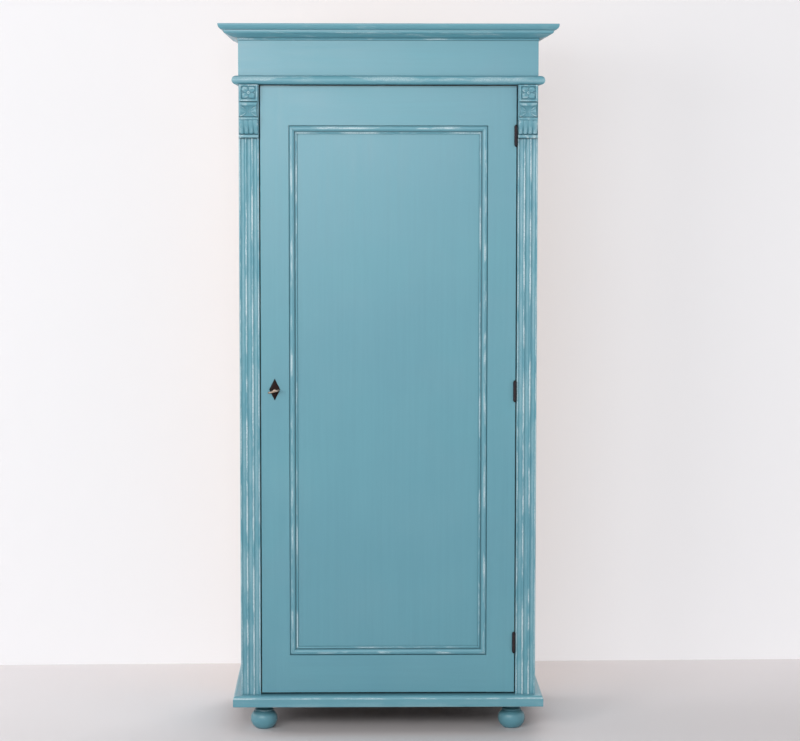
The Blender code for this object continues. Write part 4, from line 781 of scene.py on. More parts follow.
hinge_iron = metal(
    "hinge_iron", (0.24, 0.21, 0.20), (0.034, 0.024, 0.026), (0.024, 0.019, 0.024), 0.88, 140.0, 0.75
)
lock_iron = metal(
    "lock_iron", (0.42, 0.40, 0.38), (0.10, 0.085, 0.075), (0.065, 0.06, 0.06), 0.7, 90.0
)
lock_steel = metal(
    "lock_steel", (0.62, 0.60, 0.57), (0.22, 0.17, 0.13), (0.34, 0.31, 0.28), 0.42, 120.0, 1.0, 0.7
)
plate_bronze = metal(
    "plate_bronze",
    (0.30, 0.27, 0.22),
    (0.016, 0.006, 0.005),
    (0.005, 0.007, 0.006),
    cover=0.97,
    patch_size=70.0,
    metallic=0.8,
    edge=0.5,
)
key_brass = metal(
    "key_brass", (0.62, 0.50, 0.41), (0.07, 0.040, 0.028), (0.22, 0.15, 0.10), 0.56, 100.0, 1.0, 0.6
)
print("metals ready")

# %% [markdown]
# ## Making a piece
# Most pieces are skins over rings of points: a section is drawn once and carried along. Each point
# of the section may be marked as rubbed or as a hollow, and the paint reads those marks: it darkens the
# hollows as painted shade.

# %% Mesh helpers
collection = bpy.context.scene.collection


def finish_piece(name, points, faces, material, body, slot, nodes=(), rub=None, hollow=None, smooth=32):
    """Builds the mesh, gives it its paint and its place on a body, and hides the nodes it stands for."""
    mesh = bpy.data.meshes.new(name)
    mesh.from_pydata([tuple(p) for p in points], [], faces)
    bm = bmesh.new()
    bm.from_mesh(mesh)
    bmesh.ops.recalc_face_normals(bm, faces=bm.faces[:])
    bm.to_mesh(mesh)
    bm.free()
    for label, values in (("rub", rub), ("hollow", hollow)):
        marks = mesh.attributes.new(label, "FLOAT", "POINT")
        if values is not None:
            marks.data.foreach_set("value", np.asarray(values, dtype=np.float32))
    if smooth:
        mesh.shade_smooth()
        mesh.set_sharp_from_angle(angle=math.radians(smooth))
    mesh.materials.append(material)
    piece = bpy.data.objects.new(name, mesh)
    collection.objects.link(piece)
    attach(piece, body)
    if nodes:
        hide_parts(*nodes)
    return piece


def skin(rings, closed=True, caps=True):
    """Points and faces over rings of equal length. closed joins the ends of each ring."""
    points = [p for ring in rings for p in ring]
    count = len(rings[0])
    faces = []
    last = count if closed else count - 1
    for r in range(len(rings) - 1):
        for i in range(last):
            after = (i + 1) % count
            here, there = r * count, (r + 1) * count
            faces.append((here + i, here + after, there + after, there + i))
    if caps:
        faces.append(tuple(range(count)))
        faces.append(tuple(range((len(rings) - 1) * count, len(rings) * count)))
    return points, faces


def merged(parts):
    """Several (points, faces) in one."""
    points = []
    faces = []
    for more_points, more_faces in parts:
        offset = len(points)
        points += [tuple(p) for p in more_points]
        faces += [tuple(i + offset for i in face) for face in more_faces]
    return points, faces


def arc(middle, radius, from_degrees, to_degrees, steps, rub=0.0):
    """Points (a, b, rub, hollow) on an elliptical arc, rubbed most half way and never hollow."""
    if not isinstance(radius, tuple):
        radius = (radius, radius)
    points = []
    for i in range(steps + 1):
        angle = math.radians(from_degrees + (to_degrees - from_degrees) * i / steps)
        strong = math.sin(math.pi * i / steps) ** 2
        a = middle[0] + radius[0] * math.cos(angle)
        b = middle[1] + radius[1] * math.sin(angle)
        points.append((a, b, rub * strong, 0.0))
    return points


def eased(corners, steps=3):
    """Rounds the corners of an outline. Each corner is (a, b, radius, rub, hollow)."""
    points = []
    count = len(corners)
    for i, (a, b, radius, rub, hollow) in enumerate(corners):
        here = Vector((a, b))
        if radius == 0:
            points.append((a, b, rub, hollow))
            continue
        back = Vector(corners[i - 1][:2]) - here
        ahead = Vector(corners[(i + 1) % count][:2]) - here
        reach = min(radius, 0.45 * back.length, 0.45 * ahead.length)
        first = here + back.normalized() * reach
        last = here + ahead.normalized() * reach
        for k in range(steps + 1):
            t = k / steps
            spot = first * (1 - t) ** 2 + here * 2 * t * (1 - t) + last * t**2
            strong = math.sin(math.pi * (k + 0.5) / (steps + 1))
            points.append((spot.x, spot.y, rub * strong, hollow * strong))
    return points


def marks_of(section, rings):
    """The rub and hollow marks of a section that is carried through so many rings."""
    rub = [mark[2] for mark in section]
    hollow = [mark[3] for mark in section]
    return {"rub": rub * rings, "hollow": hollow * rings}


print("mesh helpers ready")

# %% [markdown]
# ## Base board and top board
# Both boards stand proud on the front and the two sides. The base has a rounded upper arris, the
# top a half-round nosing. The section runs round the three sides and turns the corners in mitres,
# which is how a router leaves a solid board.

# %% Edged boards


def edged_board(name, node, section, narrower=0.0):
    """section lists (inset from the outer edge, height, rub, hollow) from top face to underside."""
    low, high = low_of(node), high_of(node)
    rings = []
    for corner in ("rear_left", "front_left", "front_right", "rear_right"):
        ring = []
        for inset, z, _, _ in section:
            x = low.x + narrower + inset
            if "right" in corner:
                x = high.x - narrower - inset
            y = high.y if "rear" in corner else low.y + inset
            ring.append((x, y, z))
        rings.append(ring)
    count = len(section)
    points, faces = skin(rings, closed=False, caps=False)
    faces.append((0, count, 2 * count, 3 * count))
    faces.append((count - 1, 2 * count - 1, 3 * count - 1, 4 * count - 1))
    faces.append(tuple(range(count)) + tuple(range(4 * count - 1, 3 * count - 1, -1)))
    marks = marks_of(section, len(rings))
    finish_piece(name, points, faces, board_paint, "carcass", "carcass_paint", (node,), **marks)


base_low, base_high = low_of("base_board").z, high_of("base_board").z
BASE_ARRIS = 10.6 * MM
BASE_LOWER_ARRIS = 1.8 * MM
BASE_NARROWER = 2.2 * MM
arris_middle = (BASE_ARRIS, base_high - BASE_ARRIS)
base_section = arc(arris_middle, BASE_ARRIS, 90, 138, 7)[:-1]
# The rub on the lower half of the arris is worn paint and also a painted highlight on the round.
base_section += arc(arris_middle, BASE_ARRIS, 138, 180, 8, rub=1.0)
base_section += [(0, base_low + 2.2 * MM, 0.2, 0)]
lower_middle = (BASE_LOWER_ARRIS, base_low + BASE_LOWER_ARRIS)
base_section += arc(lower_middle, BASE_LOWER_ARRIS, 180, 270, 4, rub=0.5)
edged_board("base_board_edged", "base_board", base_section, narrower=BASE_NARROWER)

top_low, top_high = low_of("top_board").z, high_of("top_board").z
NOSE = (top_high - top_low) / 2
NOSE_OUT = 0.975 * NOSE
nose_middle = (NOSE_OUT, (top_low + top_high) / 2)
top_section = arc(nose_middle, (NOSE_OUT, NOSE), 90, 230, 20, rub=0.5)
top_section += arc(nose_middle, (NOSE_OUT, NOSE), 230, 270, 7)[1:]
edged_board("top_board_nosed", "top_board", top_section)
print("boards", round(base_high, 4), round(top_high, 4))

# %% [markdown]
# ## Bun feet
# A lathe makes them: a flattened ball, a bead, a short neck and a flange that meets the board. The
# profile is turned about the middle of each foot with enough steps to stay round in a close view.

# %% Turned feet
FOOT_STEPS = 72
FOOT_OUTWARD = 1.2 * MM
BALL = 37.5 * MM
BALL_SOLE = 20.0 * MM
BALL_WIDEST = 27 * MM
BALL_UPPER = 23.2 * MM
BALL_FULLNESS = 2.5


def foot_section(top):
    """(radius, height, rub, hollow) from the floor to the underside of the base board."""
    flat = math.degrees(math.acos(BALL_SOLE / BALL))
    below = BALL_WIDEST / math.sin(math.radians(flat))
    section = [(0, 0, 0, 0), (19.0 * MM, 0, 0, 0)]
    section += arc((0, BALL_WIDEST), (BALL, below), -flat, 0, 16)[:-1]
    for i in range(17):
        share = i / 16
        radius = BALL * (1 - (0.83 * share) ** BALL_FULLNESS) ** (1 / BALL_FULLNESS)
        rub = 0.3 * share * (1 - share)
        section.append((radius, BALL_WIDEST + BALL_UPPER * share, rub, 0))
    ball_top = section[-1][1]
    # Hollow marks on the bead and neck paint the shade under the base board.
    section += [(25.6 * MM, ball_top + 0.2 * MM, 0, 0.5)]
    section += arc((24.2 * MM, ball_top + 2.4 * MM), 2.4 * MM, -70, 80, 10, rub=0.7)
    bead_top = section[-1][1]
    section += [(23.0 * MM, bead_top + 0.2 * MM, 0, 1.0)]
    flange = top - 5 * MM
    neck = arc((27 * MM, (flange + bead_top) / 2), (6.0 * MM, (flange - bead_top) / 2), 235, 100, 10)
    section += [(r, z, 0, 1.0) for r, z, _, _ in neck]
    section += arc((25.2 * MM, flange + 1.2 * MM), 1.2 * MM, -90, 0, 4)
    section += [(26.4 * MM, top - 0.4 * MM, 0, 0.8), (26.2 * MM, top, 0, 0), (0, top, 0, 0)]
    return section


def lathe(section, middle, steps):
    """Turns the radius and height of each mark about an upright line through middle."""
    points = []
    faces = []
    rings = []
    for mark in section:
        if mark[0] == 0:
            rings.append([len(points)])
            points.append((middle[0], middle[1], mark[1]))
            continue
        rings.append(list(range(len(points), len(points) + steps)))
        for i in range(steps):
            angle = 2 * math.pi * i / steps
            x = middle[0] + mark[0] * math.cos(angle)
            points.append((x, middle[1] + mark[0] * math.sin(angle), mark[1]))
    for ring, following in zip(rings, rings[1:]):
        for i in range(steps):
            after = (i + 1) % steps
            corners = [ring[i % len(ring)], ring[after % len(ring)]]
            corners += [following[after % len(following)], following[i % len(following)]]
            faces.append(tuple(dict.fromkeys(corners)))
    return points, faces


def spread(section, column, steps):
    """The marks of a section repeated for every point that a lathe makes."""
    marks = []
    for mark in section:
        marks += [mark[column]] * (1 if mark[0] == 0 else steps)
    return marks


for word in ("front_left", "front_right", "rear_left", "rear_right"):
    node = "foot_" + word
    middle = (low_of(node) + high_of(node)) / 2
    middle.x += math.copysign(FOOT_OUTWARD, middle.x)
    section = foot_section(base_low - GAP)
    points, faces = lathe(section, middle, FOOT_STEPS)
    marks = {"rub": spread(section, 2, FOOT_STEPS), "hollow": spread(section, 3, FOOT_STEPS)}
    name = "foot_turned_" + word
    finish_piece(name, points, faces, foot_paint, "carcass", "foot_paint", (node,), smooth=40, **marks)
print("feet at", [round(v, 3) for v in middle])

# %% [markdown]
# ## Fluted stiles
# Three shallow hollows run up each corner stile, with narrow fillets between them. A moulding plane
# cut them by hand, so the section is carried up in many short steps that waver by a tenth of a
# millimetre.

# %% Fluted stiles
FLUTE_FILLET = 4.0 * MM
FLUTE_DEPTH = 4.3 * MM
FLUTE_WIDTH = (STILE_WIDTH - 4 * FLUTE_FILLET) / 3
FLUTE_TOP = CAPITAL_BOTTOM + 9 * MM
STILE_LEVELS = 70


def stile_section(middle):
    """Outline (x, y, rub, hollow) of a fluted stile, seen from above."""
    half = STILE_WIDTH / 2
    ease = 1.3 * MM
    outline = arc((middle - half + ease, FRONT + ease), ease, 180, 270, 3, rub=1.0)
    radius = (FLUTE_WIDTH**2 / 4 + FLUTE_DEPTH**2) / (2 * FLUTE_DEPTH)
    reach = math.degrees(math.asin(FLUTE_WIDTH / 2 / radius))
    for number in range(3):
        flute = middle + (number - 1) * (FLUTE_WIDTH + FLUTE_FILLET)
        left, right = flute - FLUTE_WIDTH / 2, flute + FLUTE_WIDTH / 2
        outline.append((left - 0.9 * MM, FRONT, 1.0, 0))
        outline.append((left - 0.2 * MM, FRONT + 0.12 * MM, 1.0, 0))
        middle_of_arc = (flute, FRONT + FLUTE_DEPTH - radius)
        outline += arc(middle_of_arc, radius, 90 + reach, 90 - reach, 14, rub=0.25)[1:-1]
        outline.append((right + 0.2 * MM, FRONT + 0.12 * MM, 1.0, 0))
        outline.append((right + 0.9 * MM, FRONT, 1.0, 0))
    outline += arc((middle + half - ease, FRONT + ease), ease, 270, 360, 3, rub=1.0)
    outline += [(middle + half, STILE_REAR, 0, 0), (middle - half, STILE_REAR, 0, 0)]
    return outline


def waver(z, number):
    """A tenth of a millimetre to and fro, different for every line of the section."""
    return 0.10 * MM * math.sin(z * 23 + number * 1.7) + 0.06 * MM * math.sin(z * 61 + number * 2.9)


for side, word in ((-1, "left"), (1, "right")):
    section = stile_section(side * STILE_MIDDLE)
    levels = list(np.linspace(BASE_TOP + GAP, CAPITAL_BOTTOM - 6 * MM, STILE_LEVELS))
    levels += [CAPITAL_BOTTOM - 2.6 * MM, CAPITAL_BOTTOM - 1.6 * MM, FLUTE_TOP]
    rings = []
    for z in levels:
        ring = []
        for number, (x, y, _, _) in enumerate(section):
            off = waver(z, number // 3) if 2 < number < len(section) - 4 else 0
            ring.append((x + off, y, z))
        rings.append(ring)
    fluted = skin(rings)
    node = "fluted_stile_" + word
    low, high = low_of(node), high_of(node)
    head = [(low.x, FRONT), (high.x, FRONT), (high.x, STILE_REAR), (low.x, STILE_REAR)]
    plain = skin([[(x, y, z) for x, y in head] for z in (FLUTE_TOP, TOP_BOTTOM - GAP)])
    points, faces = merged([fluted, plain])
    marks = marks_of(section, len(levels))
    marks["rub"] += [0] * len(plain[0])
    marks["hollow"] = []
    for z in levels:
        in_shade = 1.0 if z > CAPITAL_BOTTOM - 2.5 * MM else 0.0
        marks["hollow"] += [in_shade] * len(section)
    marks["hollow"] += [0] * len(plain[0])
    name = "stile_fluted_" + word
    finish_piece(
        name, points, faces, fluting_paint, "carcass", "fluting_paint", (node,), smooth=30, **marks
    )
print("flute width", round(FLUTE_WIDTH / MM, 2), "mm")

# %% [markdown]
# ## Carved capitals
# From below: a fillet, a reeded console with scalloped ends, a roll, a throat with a fan on each
# side, another roll, and a block with a four-petalled flower in a sunk field. A carver works from
# the front and never undercuts much, so the face can be one height field: a grid of points, each
# pushed forward by the projection there. The pairs below are the foot and the head of each form.

# %% Measures of the capital, in millimetres
CARVE_STEP = 0.5
CARVE_COLUMNS = 107
CAPITAL_HEIGHT = (TOP_BOTTOM - GAP - CAPITAL_BOTTOM) / MM
FILLET_TOP = 9.5
CONSOLE = (10.1, 49.1)
LOWER_ROLL = (49.1, 57.6)
THROAT = (58.8, 87.2)
UPPER_ROLL = (87.2, 98.6)
BLOCK_LOW = 100.2
REED_PITCH = 13.1
FLOWER_MIDDLE = (BLOCK_LOW + CAPITAL_HEIGHT) / 2 + 0.8
PETAL_MIDDLE = (9.9, 8.6)
PETAL_HALF = (9.0, 7.9)
BOSS = 4.6
FIELD_HALF = (21.6, 19.6)
FIELD_DEPTH = 3.0
BLOCK_OUT = 18.6
print("capital height", round(CAPITAL_HEIGHT, 1), "mm, flower at", round(FLOWER_MIDDLE, 1))

# %% [markdown]
# The carver's forms come one by one. Every function takes grids of x, from the middle of the
# capital, and h, above its foot, and gives how far the wood stands out there, all in millimetres.

# %% Forms of the capital


def smooth_step(value, low, high):
    """0 below low, 1 above high, and a smooth rise between them."""
    t = np.clip((value - low) / (high - low), 0, 1)
    return t * t * (3 - 2 * t)


def half_width_at(h):
    """Half of the capital's width, in mm, at height h above its foot."""
    spare = STILE_WIDTH / 2 / MM
    widths = np.full_like(h, spare - 2.2)
    widths = np.where(h < UPPER_ROLL[1] + 0.6, spare - 4.0, widths)
    middle = (h - THROAT[0]) / (UPPER_ROLL[1] - THROAT[0])
    drawn_in = spare - 4.0 - 1.8 * np.sin(np.pi * middle)
    widths = np.where((h > THROAT[0]) & (h < UPPER_ROLL[1]), drawn_in, widths)
    widths = np.where(h < THROAT[0], spare - 1.3, widths)
    return np.where(h < FILLET_TOP, spare - 0.5, widths)


def roll(h, span, out):
    """A half-round roll over the heights of span, standing out by out at its middle."""
    radius = (span[1] - span[0]) / 2
    middle = (span[0] + span[1]) / 2
    return out - radius + np.sqrt(np.maximum(radius**2 - (h - middle) ** 2, 0))


def console_face(x, h):
    """Four reeds that swell upwards and end below in half-round scallops."""
    foot, swell, scallop, ground = 10.4, 6.2, 6.3, 5.6
    rise = (1 - np.cos(np.pi * np.clip((h - CONSOLE[0]) / (CONSOLE[1] - CONSOLE[0]), 0, 1))) / 2
    slanted = x + 0.05 * (h - 30)
    number = np.clip(np.floor(slanted / REED_PITCH + 2), 0, 3)
    across = (slanted - (number - 1.5) * REED_PITCH) / (REED_PITCH / 2)
    down = np.minimum((h - CONSOLE[0] - scallop) / scallop, 0)
    reach = np.sqrt(np.clip(across, -1.2, 1.2) ** 2 + down**2)
    depth = 4.9 - 3.2 * smooth_step(h, 18, 38)
    dome = depth * (1 - np.sqrt(1 - (0.98 * np.minimum(reach, 1)) ** 2))
    return np.where(reach > 1, ground, foot + swell * rise - dome)


def throat_face(x, h):
    """A hollow with a ribbed fan at each side, its point towards the middle."""
    share = np.clip((h - THROAT[0]) / (THROAT[1] - THROAT[0]), 0, 1)
    face = 16.0 - 6.0 * np.sin(np.pi * share)
    middle = (THROAT[0] + THROAT[1]) / 2
    edge = 4.5 + 14.0 * ((h - middle) / 14.0) ** 2
    over = np.abs(x) - edge
    angle = np.arctan2(h - middle, np.abs(x) - 2.0)
    ribs = 0.9 * np.cos(angle * 9.0)
    tip = 1.2 * np.exp(-(((h - middle - 5.0) / 3.5) ** 2)) * smooth_step(over, 3, 8)
    fan = (2.0 + 0.12 * np.maximum(over, 0) + ribs + tip) * smooth_step(over, -0.5, 3.2)
    dip = -1.4 * np.clip(1 - np.abs(x) / np.maximum(edge, 1), 0, 1)
    return face + fan + dip


def flower(x, z):
    """Height of the flower above its sunk field: four cupped petals and a drilled boss."""
    lean = 0.06 * np.sin(z * 0.5) + 0.05 * np.sin(x * 0.4 + 1.0)
    across = (np.abs(x) - PETAL_MIDDLE[0]) / PETAL_HALF[0] + lean
    up = (np.abs(z) - PETAL_MIDDLE[1]) / PETAL_HALF[1] - lean
    edge = np.abs(across) ** 2.3 + np.abs(up) ** 2.3
    petal = 4.8 * np.sqrt(np.maximum(1 - edge, 0))
    cup = np.exp(-(((across + 0.35) ** 2 + (up + 0.35) ** 2) / 0.34))
    petal = np.maximum(petal - 3.0 * cup, 0) * (edge < 1)
    from_middle = np.sqrt(x**2 + z**2)
    boss = 1.0 + 1.5 * np.sqrt(np.maximum(1 - ((from_middle - 2.6) / 2.0) ** 2, 0))
    return np.where(from_middle < BOSS, np.maximum(boss, petal * 0.3), petal)


def block_face(x, h):
    """The block's face, its sunk field and the flower in it."""
    z = h - FLOWER_MIDDLE
    inside = np.maximum(np.abs(x) / FIELD_HALF[0], np.abs(z) / FIELD_HALF[1])
    sunk = FIELD_DEPTH * (1 - smooth_step(inside, 0.84, 1.0))
    return BLOCK_OUT - sunk + flower(x, z) * (inside < 1.0)


print("capital forms ready")

# %% [markdown]
# The forms are laid over one another from foot to top. A little blur takes the hardness of the
# sums away, as a gouge and old paint do. What stands above a blurred copy of the surface is high
# and gets rubbed pale, as wear and as painted highlight, and what lies below it is hollow and is
# darkened as painted shade.

# %% Carve the capitals


def blurred(field, passes, reach):
    """The mean over reach neighbours to each side, taken along rows and columns."""
    for _ in range(passes):
        for axis in (0, 1):
            total = np.zeros_like(field)
            for offset in range(-reach, reach + 1):
                total += np.roll(field, offset, axis)
            field = total / (2 * reach + 1)
    return field


def capital_field():
    """Grids of x, height, projection, and of how high and how hollow each spot is."""
    rows = int(CAPITAL_HEIGHT / CARVE_STEP) + 1
    heights = np.linspace(0, CAPITAL_HEIGHT, rows)
    shares = np.linspace(-1, 1, CARVE_COLUMNS)
    h, u = np.meshgrid(heights, shares, indexing="ij")
    half = half_width_at(h)
    x = u * half
    fillet = 12.0 - 0.8 * (np.abs(h - FILLET_TOP / 2) / (FILLET_TOP / 2)) ** 8
    out = np.full_like(h, 6.0)
    out = np.where(h <= FILLET_TOP, fillet, out)
    out = np.where((h > CONSOLE[0]) & (h <= CONSOLE[1]), console_face(x, h), out)
    out = np.where((h > LOWER_ROLL[0]) & (h <= LOWER_ROLL[1]), roll(h, LOWER_ROLL, 19.0), out)
    out = np.where((h > LOWER_ROLL[1]) & (h <= THROAT[0]), 13.0, out)
    out = np.where((h > THROAT[0]) & (h <= THROAT[1]), throat_face(x, h), out)
    out = np.where((h > UPPER_ROLL[0]) & (h <= UPPER_ROLL[1]), roll(h, UPPER_ROLL, 19.5), out)
    out = np.where((h > UPPER_ROLL[1]) & (h <= BLOCK_LOW), 14.5, out)
    out = np.where(h > BLOCK_LOW, block_face(x, h), out)
    ease = 1.4
    edge = np.clip((np.abs(x) - (half - ease)) / ease, 0, 1)
    out = out - ease * (1 - np.sqrt(1 - edge**2))
    tool = 0.14 * np.sin(x * 1.9 + h * 0.7) * np.sin(h * 1.3 - x * 0.6)
    out = blurred(out, 1, 1) + tool * (h > CONSOLE[0])
    near = out - blurred(out, 2, 3)
    broad = out - blurred(out, 2, 9)
    high = np.clip(0.5 * near / 0.8 + 0.6 * broad / 2.2, 0, 1)
    low = np.clip(-0.6 * near / 0.9 - 0.5 * broad / 2.0, 0, 1)
    high = np.where(h < FILLET_TOP, 0.9, high)
    return x, h, out, high, low


def carved_capital(side, word):
    x, h, out, high, low = capital_field()
    rows, columns = x.shape
    rear = FRONT - GAP
    middle = side * STILE_MIDDLE
    points = []
    for i in range(rows):
        for j in range(columns):
            spot = (middle - side * x[i, j] * MM, rear - out[i, j] * MM, CAPITAL_BOTTOM + h[i, j] * MM)
            points.append(spot)
    faces = []
    for i in range(rows - 1):
        for j in range(columns - 1):
            a = i * columns + j
            faces.append((a, a + 1, a + columns + 1, a + columns))
    rim = list(range(columns))
    rim += [i * columns + columns - 1 for i in range(1, rows)]
    rim += [(rows - 1) * columns + j for j in range(columns - 2, -1, -1)]
    rim += [i * columns for i in range(rows - 2, 0, -1)]
    count = len(points)
    for index in rim:
        px, _, pz = points[index]
        points.append((px, rear, pz))
    for k in range(len(rim)):
        after = (k + 1) % len(rim)
        faces.append((rim[k], rim[after], count + after, count + k))
    faces.append(tuple(range(count, count + len(rim))))
    flat = [0] * len(rim)
    marks = {"rub": list(high.ravel()) + flat, "hollow": list(low.ravel()) + flat}
    name, node = "capital_carved_" + word, "capital_" + word
    return finish_piece(
        name, points, faces, carving_paint, "carcass", "carving_paint", (node,), smooth=38, **marks
    )


for side, word in ((-1, "left"), (1, "right")):
    capital = carved_capital(side, word)
print("capital points", len(capital.data.vertices))

# %% [markdown]
# ## Cornice
# The crown is finished by a moulding planted on three sides: a fine bead, a hollow that sweeps
# out, a rounded fillet and a thick nose. Its three lengths meet in mitres at the front corners.

# %% Cornice lengths
CORNICE_OUT = 53 * MM
CORNICE_HIGH = 45 * MM


def cornice_section():
    """(projection, height, rub, hollow) from the foot on the frieze, out and up to the top arris."""
    foot = CROWN_TOP - CORNICE_HIGH
    nose_low = CROWN_TOP - 17 * MM
    # Hollow marks under the bead and under the nose paint the shade there; the rub on the sweep is worn
    # paint and painted sheen.
    section = [(0, foot, 0, 1.0), (0.2 * MM, foot + 2.2 * MM, 0, 1.0)]
    section += arc((0.2 * MM, foot + 4.7 * MM), (2.0 * MM, 2.2 * MM), -85, 85, 10, rub=1.0)
    section += [(0.9 * MM, foot + 7.2 * MM, 0, 0.7)]
    for i in range(17):
        share = i / 16
        out = 1.4 + 30.2 * share
        rise = 7.6 + 10.6 * share**1.7
        section.append((out * MM, foot + rise * MM, 0.44, 0.3 * (1 - share) ** 3))
    section += arc((32.2 * MM, foot + 24.2 * MM), 6.0 * MM, -80, 0, 10, rub=0.6)
    section += [(38.2 * MM, nose_low - 1.2 * MM, 0.1, 0.1), (38.2 * MM, nose_low, 0, 1.0)]
    nose_middle = (39.7 * MM, CROWN_TOP - 1.2 * MM)
    section += arc(nose_middle, (13.3 * MM, 15.8 * MM), -90, 0, 18, rub=0.32)[:-1]
    top_ease = 1.1 * MM
    section += arc((CORNICE_OUT - top_ease, CROWN_TOP - top_ease), top_ease, 0, 90, 4, rub=0.8)
    section += [(0, CROWN_TOP, 0, 0)]
    return section


section = cornice_section()
face = FRONT - GAP
CROWN_HALF = high_of("frieze_front").x
left_end = [(-CROWN_HALF - out, face - out, z) for out, z, _, _ in section]
right_end = [(-x, y, z) for x, y, z in left_end]
points, faces = skin([left_end, right_end])
marks = marks_of(section, 2)
node = "cornice_front"
finish_piece("cornice_run_front", points, faces, crown_paint, "carcass", "crown_paint", (node,), **marks)
for side, word in ((-1, "left"), (1, "right")):
    mitre = [(side * (CROWN_HALF + GAP + out), FRONT - out, z) for out, z, _, _ in section]
    rear = [(x, BACK, z) for x, _, z in mitre]
    points, faces = skin([mitre, rear])
    name, node = "cornice_run_" + word, "cornice_" + word
    finish_piece(name, points, faces, crown_side_paint, "carcass", "crown_paint", (node,), **marks)
print("cornice points in section", len(section))

# %% [markdown]
# ## Door rails
# The rails meet the stiles in joints that the paint has closed. In the solids a hair of air is left
# there, so the rails are drawn again as one section, with the groove for the panel, and run right
# up to the stiles. The frame then looks like one painted board, as it does on the real door.

# %% Rails of the door
RAIL_GROOVE = (low_of("door_panel").y - GAP, high_of("door_panel").y + GAP)
for word, up in (("top", 1), ("bottom", -1)):
    node = "door_rail_" + word
    low, high = low_of(node), high_of(node)
    outer = high.z if up > 0 else low.z
    inner = low_of("panel_moulding_bottom").z - GAP
    groove = low_of("door_panel").z - 0.5 * MM
    if up > 0:
        inner = high_of("panel_moulding_top").z + GAP
        groove = high_of("door_panel").z + 0.5 * MM
    corners = [(low.y, outer - up * 4.4 * MM, 0, 0, 0), (low.y, outer - up * 3.2 * MM, 0, 0, 0)]
    # The rub on the outer arris is worn paint and also a painted highlight along the door's edge.
    corners += [(low.y, outer, 0.8 * MM, 0.9, 0), (high.y, outer, 0.8 * MM, 0.3, 0)]
    corners += [(high.y, inner, 0.5 * MM, 0, 0), (RAIL_GROOVE[1], inner, 0, 0, 0)]
    corners += [(RAIL_GROOVE[1], groove, 0, 0, 0), (RAIL_GROOVE[0], groove, 0, 0, 0)]
    corners += [(RAIL_GROOVE[0], inner, 0, 0, 0), (low.y, inner, 0, 0, 0)]
    outline = eased(corners, 3)
    ends = (high_of("door_stile_lock").x, low_of("door_stile_hinge").x)
    rings = [[(x, y, z) for y, z, _, _ in outline] for x in np.linspace(ends[0], ends[1], 5)]
    points, faces = skin(rings)
    marks = marks_of(outline, len(rings))
    name = "rail_of_door_" + word
    finish_piece(name, points, faces, door_rail_paint, "door", "door_paint", (node,), **marks)
print("door rails", [round(x, 4) for x in ends])

# %% [markdown]
# ## Panel moulding
# Four strips are mitred round the panel. Seen in section, from the frame inwards: a broad flat
# torus, a quirk and a low bead that meets the panel. The crests are where the paint has been rubbed
# through.

# %% Moulding strips
PANEL_FACE = low_of("door_panel").y
STRIP_WIDTH = 23.5 * MM


def strip_section():
    """(distance in from the frame, height off the panel, rub, hollow)."""
    section = [(0, 0, 0, 0.3), (0, 3.6 * MM, 0, 0.2), (0.45 * MM, 4.0 * MM, 0, 0.1)]
    torus = []
    for a, b, _, _ in arc((7.85 * MM, 4.0 * MM), (7.4 * MM, 5.0 * MM), 180, 0, 28):
        crest = math.exp(-(((a / MM - 6.6) / 3.2) ** 2))
        torus.append((a, b, crest, 0.0))
    section += torus[1:]
    # The quirk's hollow marks paint the shade in it.
    section += [(15.6 * MM, 1.9 * MM, 0, 1.0), (17.3 * MM, 1.8 * MM, 0, 1.0)]
    section += arc((20.25 * MM, 1.8 * MM), (2.8 * MM, 2.6 * MM), 175, 5, 16, rub=0.95)
    section += [(STRIP_WIDTH, 1.0 * MM, 0, 0.6), (STRIP_WIDTH, 0, 0, 0.6)]
    return section


section = strip_section()
face = PANEL_FACE - GAP
PANEL_HALF = low_of("panel_moulding_right").x + STRIP_WIDTH + GAP
PANEL_LOW = low_of("panel_moulding_bottom").z - GAP
PANEL_HIGH = high_of("panel_moulding_top").z + GAP
marks = marks_of(section, 2)
for word, edge, inwards in (("top", PANEL_HIGH, -1), ("bottom", PANEL_LOW, 1)):
    x_edge = PANEL_HALF - 2 * GAP
    first = [(-x_edge + s, face - h, edge + inwards * (GAP + s)) for s, h, _, _ in section]
    last = [(x_edge - s, face - h, edge + inwards * (GAP + s)) for s, h, _, _ in section]
    points, faces = skin([first, last])
    node = "panel_moulding_" + word
    finish_piece(
        "strip_" + word, points, faces, moulding_level_paint, "door", "moulding_paint", (node,), **marks
    )
for word, side in (("left", -1), ("right", 1)):
    x_edge = PANEL_HALF - GAP
    low_edge, high_edge = PANEL_LOW + 2 * GAP, PANEL_HIGH - 2 * GAP
    first = [(side * (x_edge - s), face - h, low_edge + s) for s, h, _, _ in section]
    last = [(side * (x_edge - s), face - h, high_edge - s) for s, h, _, _ in section]
    points, faces = skin([first, last])
    node = "panel_moulding_" + word
    finish_piece(
        "strip_" + word, points, faces, moulding_upright_paint, "door", "moulding_paint", (node,), **marks
    )
print("panel half width", round(PANEL_HALF, 4), "levels", round(PANEL_LOW, 4), round(PANEL_HIGH, 4))

# %% [markdown]
# ## Screws and nails
# A slotted screw head is two half-moons over a round floor: the gap between them is the slot. A
# nail head is a low dome. They are small, so many of them share one mesh on each body.

# %% Screw and nail shapes


def frame_on(normal):
    """Two directions that lie in the surface, and its normal."""
    normal = Vector(normal).normalized()
    first = normal.cross(Vector((0, 0, 1)))
    if first.length < 0.5:
        first = Vector((1, 0, 0))
    first.normalize()
    return first, normal.cross(first), normal


